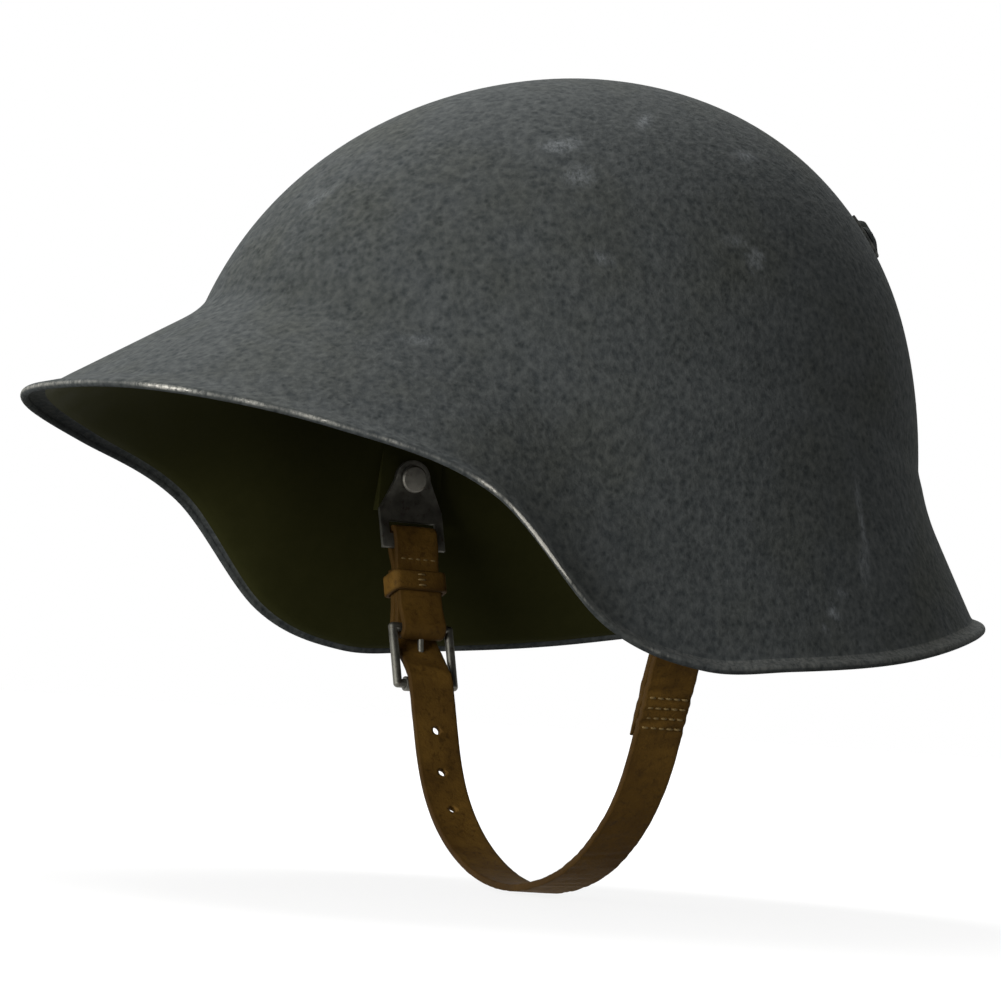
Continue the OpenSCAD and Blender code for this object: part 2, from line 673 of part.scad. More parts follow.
// Round tube through points, with a radius for each
module tube(route, radii, sides) {
    n = len(route);
    loops = [for (i = [0 : n - 1])
        let (t = unit(route[min(i + 1, n - 1)] - route[max(i - 1, 0)]),
             radial = unit([route[i][0], route[i][1], 0]),
             u = unit(radial - (radial * t) * t),
             v = cross(t, u))
        [for (k = [0 : sides - 1])
            route[i] + radii[i] * (cos(360 * k / sides) * u - sin(360 * k / sides) * v)]];
    polyhedron(flat(loops),
               concat([for (i = [0 : n - 2], j = [0 : sides - 1])
                          let (p = i * sides + j, q = i * sides + (j + 1) % sides)
                          each [[p, q, q + sides], [p, q + sides, p + sides]]],
                      [for (j = [1 : sides - 2]) [0, j + 1, j]],
                      [for (j = [1 : sides - 2]) let (k = (n - 1) * sides) [k, k + j, k + j + 1]]),
               convexity = 10);
}

// The knot sits over the gap between two tongues, on the crown's outer side
knot_azimuth = (lace_start - 0.5) * tongue_pitch;
knot_up = lace_up - 6;
tail_turn = 30;
shoulder = 0.7;
shoulder_r = 0.75 * knot_r;
function knot_point(turn, stand) =
    crown_point(knot_azimuth + turn, knot_up, leather_t) + stand * crown_normal(knot_azimuth + turn, knot_up);
module crown_lace() {
    full_route = lace_route();
    route = [for (i = [1 : len(full_route) - 1]) full_route[i]];
    knot = knot_point(0, knot_r + play);
    function from_knot(p, reach) = knot + reach * unit(p - knot);
    bend = knot_point(-tail_turn / 2, lace_r * 2.5);
    gap = lace_point(knot_azimuth - 1, 0);
    into_knot = [knot_point(-tail_turn, lace_r * 2), bend, from_knot(bend, knot_r),
                 from_knot(bend, knot_r * shoulder), knot,
                 from_knot(route[0], knot_r * shoulder), from_knot(route[0], knot_r)];
    end = [lace_point(knot_azimuth - 5, -lace_clear), gap, from_knot(gap, knot_r + play * 2)];
    bulge = [lace_r, lace_r, lace_r, shoulder_r, knot_r, shoulder_r, lace_r];
    color(cord_tan)
    tube(concat(into_knot, route, end), concat(bulge, [for (p = concat(route, end)) lace_r]), 6);
}

// Strap lug: a pad between the shell and the flat face that the hanger turns on
strap_azimuth = 90 + atan(strap_y / skull_side);
lug_face_x = skin(station(strap_azimuth), strap_pin_z, -steel_t - seat_gap)[0] - strap_lug_t;
hanger_x = lug_face_x - play - hanger_t / 2;

module strap_lug() {
    half = strap_lug_half_w / skull_side * 180 / PI;
    grid = [for (i = [-3 : 3])
        let (s = station(strap_azimuth + half * i / 3))
        [for (j = [-2 : 2]) skin(s, strap_pin_z + strap_lug_half_h * j / 2, -steel_t - seat_gap)]];
    color(steel_paint)
    difference() {
        slab(grid, [for (col = grid) [for (p = col) [lug_face_x, p[1], p[2]]]]);
        translate([lug_face_x - cut_extra, strap_y, strap_pin_z]) rotate([0, 90, 0])
            cylinder(h = strap_lug_half_w + cut_extra, r = pin_shank_r + rivet_gap, $fn = revolve_fn);
    }
}

pin_bevel = 0.5;
pin_seat = 0.02;
module strap_pin() {
    head = -hanger_t - play * 2;
    top = head - pin_head_t;
    tail = strap_lug_t - play;
    color(bare_steel)
    translate([lug_face_x, strap_y, strap_pin_z]) rotate([0, 90, 0])
        rotate_extrude($fn = revolve_fn)
            polygon([[0, top], [pin_head_r - pin_bevel, top], [pin_head_r, top + pin_bevel],
                     [pin_head_r, head], [pin_r, head], [pin_r, -pin_seat], [pin_shank_r, -pin_seat],
                     [pin_shank_r, tail], [0, tail]]);
}

// Hanger: an eye on the pin, and a slot that leans with the strap
bend_z = strap_pin_z - hanger_bend;
slot_gap = 1;
strap_room = 0.8;
loop_slack = 0.35;
loop_r = hanger_t / 2 + strap_t / 2 + play + loop_slack;
slot_top = 4;
bar_at = slot_top + slot_gap + loop_r + strap_t / 2;
bar_end = bar_at + hanger_bar;
slot_half_w = strap_w / 2 + strap_room;
ply = strap_t / 2 + play / 2;
spread = 6;
bar_ease = 0.4;

module strap_hanger() {
    half = slot_half_w + hanger_arm;
    color(bare_steel) {
        translate([hanger_x - hanger_t / 2, strap_y, strap_pin_z]) rotate([90, 0, 90])
            linear_extrude(height = hanger_t)
                difference() {
                    union() {
                        circle(r = hanger_eye_r, $fn = revolve_fn);
                        polygon([[-hanger_eye_r, 0], [hanger_eye_r, 0],
                                 [half, -hanger_bend], [-half, -hanger_bend]]);
                    }
                    circle(r = pin_r + turn_gap, $fn = revolve_fn);
                }
        translate([hanger_x, strap_y, bend_z]) rotate([90, 0, 0])
            cylinder(h = 2 * half, r = hanger_t / 2, center = true, $fn = revolve_fn);
        translate([hanger_x, strap_y, bend_z]) rotate([0, strap_lean, 0])
            rotate([90, 0, 90]) translate([0, 0, -hanger_t / 2])
                linear_extrude(height = hanger_t)
                    difference() {
                        translate([-half, -bar_end]) square([2 * half, bar_end]);
                        translate([-slot_half_w, -bar_at]) square([2 * slot_half_w, bar_at - slot_top]);
                    }
    }
}

// Routes of the strap in the plane of its loop: down is along the straight side, out is outwards
down = [-sin(strap_lean), -cos(strap_lean)];
out = [cos(strap_lean), -sin(strap_lean)];
function left_side(s, h) = [hanger_x, bend_z] + s * down + h * out;
function right_side(s, h) = let (p = left_side(s, h)) [-p[0], p[1]];

// Curved bottom: a quarter of an ellipse for each side, which touches that side's straight line
bow_z = strap_low_z + strap_bow_h;
bow_rows = 12;
function bow_reach(h) =
    let (touch = left_side(0, h) * out + bow_z * sin(strap_lean))
    sqrt(pow(touch, 2) - pow(strap_bow_h * sin(strap_lean), 2)) / cos(strap_lean);
function bow(h, rows) =
    let (r = bow_reach(h), start = atan(strap_bow_h / r * tan(strap_lean)))
    [for (i = [0 : rows]) let (t = mix(start, 90, i / rows)) [r * cos(t), bow_z - strap_bow_h * sin(t)]];

function ribbon(route, t) =
    let (n = len(route),
         sides = [for (i = [0 : n - 1])
             let (d = unit(route[min(i + 1, n - 1)] - route[max(i - 1, 0)])) [-d[1], d[0]]])
    concat([for (i = [0 : n - 1]) route[i] + sides[i] * t / 2],
           [for (i = [n - 1 : -1 : 0]) route[i] - sides[i] * t / 2]);
module strap_extrusion(route, t, w) {
    translate([0, strap_y, 0]) rotate([90, 0, 0])
        linear_extrude(height = w, center = true) polygon(ribbon(route, t));
}
// Loop of strap round a bar that lies at s, from one ply to the other
function bar_loop(s, r, turn) = [for (t = [-90 : 22.5 : 90]) [s - turn * r * cos(t), r * sin(t)]];

module strap_long() {
    fold_end = bar_end + fold_l;
    roller_at = heel_at + frame_l;
    under = wire_r + turn_gap + roller_t + play * 1.5 + strap_t / 2;
    over = wire_r + play * 3 + strap_t * 1.5;
    tip_h = ply + strap_t + play;
    left_route = concat([left_side(fold_end, -ply), left_side(bar_end + spread, -ply),
                         left_side(bar_end, -loop_r)],
                        [for (p = bar_loop(bar_at + bar_ease, loop_r, 1)) left_side(p[0], p[1])],
                        [left_side(bar_end, loop_r), left_side(bar_end + spread, ply)]);
    bottom_left = bow(ply, bow_rows);
    bottom_right = [for (p = bow(-under, bow_rows)) [-p[0], p[1]]];
    right_route = [for (p = [[roller_at + 1.5, -under], [roller_at - 2, -under * 0.9],
                             [roller_at - 5, -under * 0.5], [heel_at + 6, over * 0.6],
                             [heel_at + 3, over * 0.9], [heel_at, over],
                             [heel_at - 3, over], [heel_at - 6, over * 0.85], [heel_at - 9, tip_h + 0.2],
                             [heel_at - 12, tip_h], [bar_end + 7, tip_h]]) right_side(p[0], p[1])];
    color(strap_brown)
    difference() {
        strap_extrusion(concat(left_route, bottom_left, [for (i = [bow_rows - 1 : -1 : 0]) bottom_right[i]],
                               right_route), strap_t, strap_w);
        on_right_side(heel_at + prong_slot_at, 0) prong_slot(prong_slot_l);
    }
}
module prong_slot(l) {
    r = prong_r + play;
    translate([0, -r, -strap_t * 2]) cube([l, 2 * r, strap_t * 6]);
    for (x = [0, l]) translate([x, 0, -strap_t * 2]) cylinder(h = strap_t * 6, r = r, $fn = revolve_fn);
}

module strap_short() {
    heel_loop = wire_r + play + strap_t / 2;
    route = concat([right_side(mix(bar_end, heel_at, 0.5), -ply), right_side(bar_end + spread, -ply),
                    right_side(bar_end, -loop_r)],
                   [for (p = bar_loop(bar_at + bar_ease, loop_r, 1)) right_side(p[0], p[1])],
                   [right_side(bar_end, loop_r), right_side(bar_end + spread, ply),
                    right_side(heel_at - 7, ply)],
                   [for (p = bar_loop(heel_at, heel_loop, -1)) right_side(p[0], -p[1])],
                   [right_side(heel_at - 7, -ply), right_side(mix(bar_end, heel_at, 0.5) + 1, -ply)]);
    notch = prong_eye_w / 2 + play;
    color(strap_brown)
    difference() {
        strap_extrusion(route, strap_t, strap_w);
        on_right_side(heel_at, 0)
            translate([-heel_loop - strap_t / 2, -notch, -heel_loop - strap_t])
                cube([3 * heel_loop, 2 * notch, 2 * (heel_loop + strap_t)]);
    }
}

// Places children on the right straight side: X goes along the strap, Z outwards
module on_right_side(s, h) {
    p = right_side(s, h);
    translate([p[0], strap_y, p[1]]) rotate([0, 90 - strap_lean, 0]) rotate([180, 0, 0]) children();
}

frame_room = 0.7;
module buckle_frame() {
    half = strap_w / 2 + play + frame_room + wire_r;
    color(bare_steel)
    on_right_side(heel_at, 0) {
        for (x = [0, frame_l])
            translate([x, 0, 0]) rotate([90, 0, 0])
                cylinder(h = 2 * half, r = wire_r, center = true, $fn = revolve_fn);
        for (y = [-half, half])
            translate([0, y, 0]) rotate([0, 90, 0]) cylinder(h = frame_l, r = wire_r, $fn = revolve_fn);
        for (x = [0, frame_l], y = [-half, half])
            translate([x, y, 0]) sphere(r = wire_r, $fn = revolve_fn);
    }
}

module buckle_roller() {
    color(bare_steel)
    on_right_side(heel_at + frame_l, 0) rotate([90, 0, 0])
        difference() {
            cylinder(h = strap_w, r = wire_r + turn_gap + roller_t, center = true, $fn = revolve_fn);
            cylinder(h = strap_w * 2, r = wire_r + turn_gap, center = true, $fn = revolve_fn);
        }
}

// The prong turns on the heel bar and rests on the roller
prong_rest = asin((wire_r + turn_gap + roller_t + play + prong_r) / frame_l);
prong_eye_t = 1.1;
prong_eye_w = 2 * prong_r + 0.8;
eye_r = wire_r + turn_gap + prong_eye_t;
module buckle_prong() {
    color(bare_steel)
    on_right_side(heel_at, 0)
        difference() {
            union() {
                rotate([90, 0, 0])
                    cylinder(h = prong_eye_w, r = eye_r, center = true, $fn = revolve_fn);
                rotate([0, 90 - prong_rest, 0]) translate([0, 0, wire_r + turn_gap + prong_eye_t / 2])
                    cylinder(h = frame_l - 0.5, r = prong_r, $fn = revolve_fn);
            }
            rotate([90, 0, 0]) cylinder(h = 10, r = wire_r + turn_gap, center = true, $fn = revolve_fn);
        }
}

// The keeper's place after the hanger's bar
keeper_after = 9;
module strap_keeper() {
    low = -ply - strap_t / 2 - play;
    high = ply + strap_t + play + strap_t / 2 + play;
    color(strap_brown)
    on_right_side(bar_end + keeper_after, 0)
        difference() {
            translate([0, -strap_w / 2 - play - keeper_t, low - keeper_t])
                cube([keeper_l, strap_w + 2 * (play + keeper_t), high - low + 2 * keeper_t]);
            translate([-cut_extra, -strap_w / 2 - play, low])
                cube([keeper_l + 2 * cut_extra, strap_w + 2 * play, high - low]);
        }
}

module strap_lug_left() { strap_lug(); }
module strap_lug_right() { mirror([1, 0, 0]) strap_lug(); }
module strap_pin_left() { strap_pin(); }
module strap_pin_right() { mirror([1, 0, 0]) strap_pin(); }
module strap_hanger_left() { strap_hanger(); }
module strap_hanger_right() { mirror([1, 0, 0]) strap_hanger(); }

shell();
vent_hood();
vent_hood_rivets();
liner_lug_front_left();
liner_lug_front_right();
liner_lug_rear_left();
liner_lug_rear_right();
liner_ring();
liner_lug_rivets();
liner_band_rivets();
pad_front();
pad_rear();
pad_left();
pad_right();
liner_leather();
crown_lace();
strap_lug_left();
strap_lug_right();
strap_pin_left();
strap_pin_right();
strap_hanger_left();
strap_hanger_right();
strap_long();
strap_short();
buckle_frame();
buckle_prong();
buckle_roller();
strap_keeper();
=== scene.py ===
# Deep steel helmet with a laced leather liner and a buckled chin strap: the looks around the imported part.
# The scene is in metres, +Z up; the front is -Y and the wearer's left is +X.
# Shapes are worked out in millimetres.
import math

import bpy
import numpy as np
from mathutils import Matrix, Vector, noise


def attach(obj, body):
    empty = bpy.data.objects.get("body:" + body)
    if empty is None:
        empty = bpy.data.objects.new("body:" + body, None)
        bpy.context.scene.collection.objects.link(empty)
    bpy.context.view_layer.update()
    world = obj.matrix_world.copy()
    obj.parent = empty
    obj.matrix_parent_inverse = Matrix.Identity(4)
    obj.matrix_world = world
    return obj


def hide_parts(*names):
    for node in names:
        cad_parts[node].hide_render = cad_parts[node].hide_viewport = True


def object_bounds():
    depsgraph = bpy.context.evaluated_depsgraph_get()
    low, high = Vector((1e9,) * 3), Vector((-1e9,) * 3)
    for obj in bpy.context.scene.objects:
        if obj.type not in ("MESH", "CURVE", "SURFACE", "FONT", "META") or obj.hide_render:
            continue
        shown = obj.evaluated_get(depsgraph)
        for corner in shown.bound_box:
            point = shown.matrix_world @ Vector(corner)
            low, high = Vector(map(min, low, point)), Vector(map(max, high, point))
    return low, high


MM = 0.001
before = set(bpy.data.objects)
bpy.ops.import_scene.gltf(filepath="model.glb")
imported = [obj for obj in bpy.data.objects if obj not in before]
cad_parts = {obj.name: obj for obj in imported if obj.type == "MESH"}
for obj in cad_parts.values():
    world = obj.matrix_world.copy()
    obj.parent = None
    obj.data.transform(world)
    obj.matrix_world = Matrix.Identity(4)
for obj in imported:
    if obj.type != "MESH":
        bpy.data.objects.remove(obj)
cad_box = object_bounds()

# Sizes of the shell, the same as the source's
CROWN_Z = 91
SKULL_SIDE, SKULL_FRONT, SKULL_REAR = 100, 124, 122.5
SKULL_SQUARE, SKULL_FULL, SKULL_BASE_Z = 2.05, 2.35, -43
CROWN_LEAN = 11.5
CREASE_FRONT_Z, CREASE_SIDE_Z, CREASE_REAR_Z = 7, -20, -36
CREASE_ROUND, CREASE_SIDE_ROUND, CREASE_ABOVE_LIP = 6, 12, 10
FLARE_FADE, SLOPE_STEP = 20, 0.4
RIM_FRONT, RIM_REAR, RIM_SIDE = 169.5, 145.5, 122
VISOR_SQUARE, NECK_SQUARE = 2.45, 2.15
RIM_LINE = np.array([[0, -24], [20, -26], [38, -34], [55, -49], [70, -83.5], [85, -94.5], [100, -92.875],
                     [120, -88], [150, -76], [180, -71]])
LIP_W, LIP_FRONT_W, LIP_DROOP, HEM_R, LIP_BEND = 4.5, 10, math.radians(15), 1.3, 1.6
STEEL_T = 1.2
HOOD_Z, HOOD_HALF_W, HOOD_H, HOOD_RISE, HOOD_T = 48.5, 36, 12.5, 3.5, 1
HOOD_FLANGE, HOOD_RAMP, HOOD_SHOULDER = 7, 4, 0.25
HOOD_TUCK, HOOD_TUCK_FROM = 0.5, 0.6
VENT_R, VENT_PITCH = 2.5, 14

# Sizes of the liner
HEAD_SIDE, HEAD_FRONT, HEAD_REAR, HEAD_SQUARE = 80, 98, 102, 2.15
LEATHER_T, BAND_H = 2, 21
TONGUES, TONGUE_RISE, TONGUE_TAPER, TONGUE_END = 9, 40, 0.27, 75
LACE_UP, LACE_HOLE_R, LACE_R, KNOT_R = 69, 2.6, 1, 3
RING_T = 0.8
PAD_HALF_W, PAD_LOW_Z, PAD_TOP_Z = 24, 9, 22
SEAT_GAP = 0.3

# Sizes of the chin strap
PLAY = 0.3
STRAP_W, STRAP_T, STRAP_Y, STRAP_LOW_Z, STRAP_BOW_H = 16, 2.2, 2, -167, 62
STRAP_LEAN = math.radians(20)
HANGER_X, BEND_Z = 100.085, -47
BAR_AT, BAR_END, LOOP_R = 8.6, 13.6, 2.5
FOLD_END, HEEL_AT, FRAME_L = 73.6, 42, 20
WIRE_R, ROLLER_T, TURN_GAP, PRONG_R = 1.5, 0.9, 0.06, 1
KEEPER_T, KEEPER_L = 1.6, 7


# Small helpers
def unit(v):
    v = np.asarray(v, float)
    return v / np.maximum(np.linalg.norm(v, axis=-1, keepdims=True), 1e-12)


def smooth(t):
    t = np.clip(t, 0, 1)
    return t * t * (3 - 2 * t)


def oval(a, front, rear, side, square):
    """Reach of a rounded plan in each direction; square is 2 for an ellipse and more for fuller corners."""
    reach = np.where(np.cos(a) > 0, front, rear)
    return ((np.abs(np.sin(a)) / side) ** square + (np.abs(np.cos(a)) / reach) ** square) ** (-1 / square)


def line_at(line, x):
    """A smooth line through [place, value] pairs, level at both ends."""
    places, values = line[:, 0], line[:, 1]
    slopes = np.zeros(len(line))
    slopes[1:-1] = (values[2:] - values[:-2]) / (places[2:] - places[:-2])
    i = np.clip(np.searchsorted(places, x, side="right") - 1, 0, len(line) - 2)
    h = places[i + 1] - places[i]
    t = (x - places[i]) / h
    return ((2 * t**3 - 3 * t**2 + 1) * values[i] + (t**3 - 2 * t**2 + t) * h * slopes[i]
            + (3 * t**2 - 2 * t**3) * values[i + 1] + (t**3 - t**2) * h * slopes[i + 1])


# The shell's surface. Azimuths a are in radians from the front over the wearer's left, heights z in mm.
def rim_r(a):
    return oval(a, RIM_FRONT, RIM_REAR, RIM_SIDE, np.where(np.cos(a) > 0, VISOR_SQUARE, NECK_SQUARE))


def rim_z(a):
    turn = np.degrees(a) % 360
    return line_at(RIM_LINE, np.where(turn > 180, 360 - turn, turn))


def crease_z(a):
    """Height of the crease where the dome meets the flare, before it is rounded."""
    ends = np.where(np.cos(a) > 0, CREASE_FRONT_Z, CREASE_REAR_Z)
    return CREASE_SIDE_Z + (ends - CREASE_SIDE_Z) * np.cos(a) ** 2


def crown_share(z):
    """How far up the skull a height is, from its base at 0 to the top at 1."""
    return np.clip((z - SKULL_BASE_Z) / (CROWN_Z - SKULL_BASE_Z), 0, 1)


def dome_share(z):
    """Reach of the dome at a height as a share of its plan."""
    return np.sqrt(np.maximum(0, 1 - crown_share(z) ** SKULL_FULL))


def lean(z):
    """How far back the crown leans at a height."""
    return CROWN_LEAN * crown_share(z) ** 2


def lip_reach(a):
    """Width of the turned-out lip, widest at the visor's front."""
    return LIP_W + (LIP_FRONT_W - LIP_W) * np.maximum(np.cos(a), 0) ** 2


def root_of(a):
    """Where the wall ends and the lip begins: reach and height."""
    lip = lip_reach(a)
    return rim_r(a) - lip, rim_z(a) + HEM_R + lip * math.tan(LIP_DROOP)


def bend_of(a):
    """Height at which the flare begins, well above the lip."""
    return np.maximum(crease_z(a), root_of(a)[1] + CREASE_ABOVE_LIP)


def skull_plan(a):
    return oval(a, SKULL_FRONT, SKULL_REAR, SKULL_SIDE, SKULL_SQUARE)


def shell_r(a, z):
    """Reach of the outer surface: dome or flare, whichever is wider, with the crease between them rounded."""
    plan = skull_plan(a)
    root_r, root_z = root_of(a)
    bend_z = bend_of(a)
    bend_r = plan * dome_share(bend_z)
    above = np.maximum(0, z - bend_z)
    cone = bend_r + (root_r - bend_r) * (bend_z - z) / (bend_z - root_z) - above * above / FLARE_FADE
    dome = plan * dome_share(z)
    fillet = CREASE_SIDE_ROUND + (CREASE_ROUND - CREASE_SIDE_ROUND) * np.cos(a) ** 2
    share = np.maximum(0, fillet - np.abs(dome - cone)) / fillet
    return np.maximum(dome, cone) + share * share * fillet / 4


def on_shell(a, z):
    """A point on the shell's outer surface."""
    r = shell_r(a, z)
    return np.stack([r * np.sin(a), -r * np.cos(a) + lean(z), z + 0 * r], -1)


def skin(a, z, off):
    """A point at a distance off from the shell's outer surface, outwards."""
    a, z = np.broadcast_arrays(np.asarray(a, float), np.asarray(z, float))
    turn = math.radians(SLOPE_STEP)
    step = np.minimum(SLOPE_STEP, (CROWN_Z - z) / 4)
    normal = unit(np.cross(on_shell(a + turn, z) - on_shell(a - turn, z),
                           on_shell(a, z + step) - on_shell(a, z - step)))
    return on_shell(a, z) + np.asarray(off)[..., None] * normal


# Meshes
PEG_SIDES, PEG_L, THREAD_SIDES = 24, 8, 7
# A stitch dips into the leather at both ends: share of its length, rise and thickness in thread radii
STITCH_STATIONS = [(-0.5, -0.7, 0.5), (-0.36, 0.35, 0.9), (-0.12, 0.75, 1),
                   (0.12, 0.75, 1), (0.36, 0.35, 0.9), (0.5, -0.7, 0.5)]


def loft(loops, ends="face", around=False):
    """Points and faces between closed loops. ends is face, strip, pole or open; around closes the row."""
    loops = np.asarray(loops, float)
    count, size = loops.shape[:2]
    points = loops.reshape(-1, 3)
    last = count if around else count - 1
    faces = []
    for i in range(last):
        here, there = i * size, (i + 1) % count * size
        faces += [(here + j, here + (j + 1) % size, there + (j + 1) % size, there + j) for j in range(size)]
    top = (count - 1) * size
    if ends == "face":
        faces += [tuple(reversed(range(size))), tuple(range(top, top + size))]
    elif ends == "strip":
        for j in range(size // 2 - 1):
            faces.append((j + 1, j, size - 1 - j, size - 2 - j))
            faces.append((top + j, top + j + 1, top + size - 2 - j, top + size - 1 - j))
    elif ends == "pole":
        points = np.vstack([points, loops[0].mean(0), loops[-1].mean(0)])
        faces += [(count * size, (j + 1) % size, j) for j in range(size)]
        faces += [(count * size + 1, top + j, top + (j + 1) % size) for j in range(size)]
    return points, faces


def joined(parts):
    """Several shapes as one: all their points and all their faces."""
    points, faces, start = [], [], 0
    for some_points, some_faces in parts:
        points.append(some_points)
        faces += [tuple(start + i for i in face) for face in some_faces]
        start += len(some_points)
    return np.vstack(points), faces


def make_object(name, points, faces, finish):
    """A smooth mesh from points in millimetres."""
    mesh = bpy.data.meshes.new(name)
    mesh.from_pydata((np.asarray(points) * MM).tolist(), [], faces)
    mesh.materials.append(finish)
    mesh.validate()
    mesh.shade_smooth()
    obj = bpy.data.objects.new(name, mesh)
    bpy.context.scene.collection.objects.link(obj)
    return obj


def mark(obj, name, values):
    """Stores one number for each point, which a material reads."""
    layer = obj.data.attributes.new(name, "FLOAT", "POINT")
    layer.data.foreach_set("value", np.asarray(values, np.float32).ravel())


def modify(obj, kind, **settings):
    """Adds one modifier with its settings."""
    modifier = obj.modifiers.new(kind.lower(), kind)
    for key, value in settings.items():
        setattr(modifier, key, value)


def apply_modifiers(obj):
    """Makes what the modifiers show into the object's own mesh."""
    graph = bpy.context.evaluated_depsgraph_get()
    made = bpy.data.meshes.new_from_object(obj.evaluated_get(graph))
    obj.modifiers.clear()
    obj.data = made


def cut(obj, cutter_shapes):
    """Takes closed shapes away from an object."""
    points, faces = joined(cutter_shapes)
    cutter = make_object("cutter", points, faces, obj.data.materials[0])
    modify(obj, "BOOLEAN", operation="DIFFERENCE", object=cutter, solver="EXACT")
    apply_modifiers(obj)
    bpy.data.objects.remove(cutter)


def round_edges(obj, width, degrees=35):
    """Softens the edges that are sharper than an angle."""
    modify(obj, "BEVEL", width=width * MM, segments=2, limit_method="ANGLE",
           angle_limit=math.radians(degrees), harden_normals=False)


def settle(obj, body, slot, *stands_for):
    """Gives an object its body, and says which solids it is drawn in place of. slot is not used."""
    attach(obj, body)
    if stands_for:
        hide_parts(*stands_for)


def across_from(direction):
    """Two directions at right angles to one direction."""
    direction = unit(direction)
    helper = np.array([0.0, 0, 1]) if abs(direction[2]) < 0.9 else np.array([1.0, 0, 0])
    first = unit(np.cross(direction, helper))
    return first, np.cross(direction, first)


def peg(centre, axis, r):
    """A closed round bar, for cutting holes."""
    axis = unit(axis)
    first, second = across_from(axis)
    turn = np.linspace(0, 2 * math.pi, PEG_SIDES, endpoint=False)[:, None]
    ring = centre + r * (np.cos(turn) * first + np.sin(turn) * second)
    return loft([ring - axis * PEG_L / 2, ring + axis * PEG_L / 2])


def stitches(name, places, finish, thread_r, length):
    """Thread stitches: each place is a middle, the direction of the thread and the outward normal."""
    parts = []
    turn = np.linspace(0, 2 * math.pi, THREAD_SIDES, endpoint=False)[:, None]
    for middle, along, up in places:
        along, up = unit(along), unit(up)
        side = np.cross(along, up)
        loops = [np.asarray(middle) + along * length * s + up * thread_r * rise
                 + thread_r * share * (np.cos(turn) * side + np.sin(turn) * up)
                 for s, rise, share in STITCH_STATIONS]
        parts.append(loft(loops))
    return make_object(name, *joined(parts), finish)


# Paths in a plane or in space
def run_of(path):
    """How far along a path each of its points lies."""
    return np.concatenate([[0], np.cumsum(np.linalg.norm(np.diff(path, axis=0), axis=1))])


def resample(path, step):
    """The same path with evenly spaced points, about a step apart."""
    path = np.asarray(path, float)
    run = run_of(path)
    places = np.linspace(0, run[-1], max(3, int(round(run[-1] / step)) + 1))
    return np.stack([np.interp(places, run, path[:, k]) for k in range(path.shape[1])], -1)


def soften(path, reach, step):
    """Rounds the corners of an evenly spaced path, ends kept."""
    count = int(math.ceil(3 * reach / step))
    weights = np.exp(-0.5 * (np.arange(-count, count + 1) * step / reach) ** 2)
    weights /= weights.sum()
    before = 2 * path[0] - path[count:0:-1]
    after = 2 * path[-1] - path[-2:-count - 2:-1]
    padded = np.vstack([before, path, after])
    return np.stack([np.convolve(padded[:, k], weights, "valid") for k in range(path.shape[1])], -1)


# Materials
# Sockets of a node that mixes two colours: the colour under, the colour over it and the result
UNDER, OVER, MIXED = 6, 7, 2


def linear(code):
    """A hex colour in sRGB as a linear colour."""
    channels = [int(code[i:i + 2], 16) / 255 for i in (1, 3, 5)]
    return [c / 12.92 if c <= 0.04045 else ((c + 0.055) / 1.055) ** 2.4 for c in channels] + [1]


def connect(tree, node, links):
    """Joins outputs to a node's inputs."""
    for key, source in links.items():
        tree.links.new(source, node.inputs[key])


def add(tree, kind, settings=None, links=None):
    """Adds one node: settings are its properties and input values, links its joined inputs."""
    node = tree.nodes.new("ShaderNode" + kind)
    for key, value in (settings or {}).items():
        if isinstance(key, str) and hasattr(node, key):
            setattr(node, key, value)
        else:
            node.inputs[key].default_value = value
    connect(tree, node, links or {})
    return node


def new_material(name, settings):
    """A material with a plain shader, and the place in the part's own frame that its nodes read."""
    made = bpy.data.materials.new(name)
    made.use_nodes = True
    tree = made.node_tree
    shader = tree.nodes["Principled BSDF"]
    for key, value in settings.items():
        shader.inputs[key].default_value = value
    place = add(tree, "TexCoord").outputs["Object"]
    return made, tree, shader, place


def per_mm(size):
    """Noise scale for marks of that size in millimetres."""
    return 1 / (size * MM)


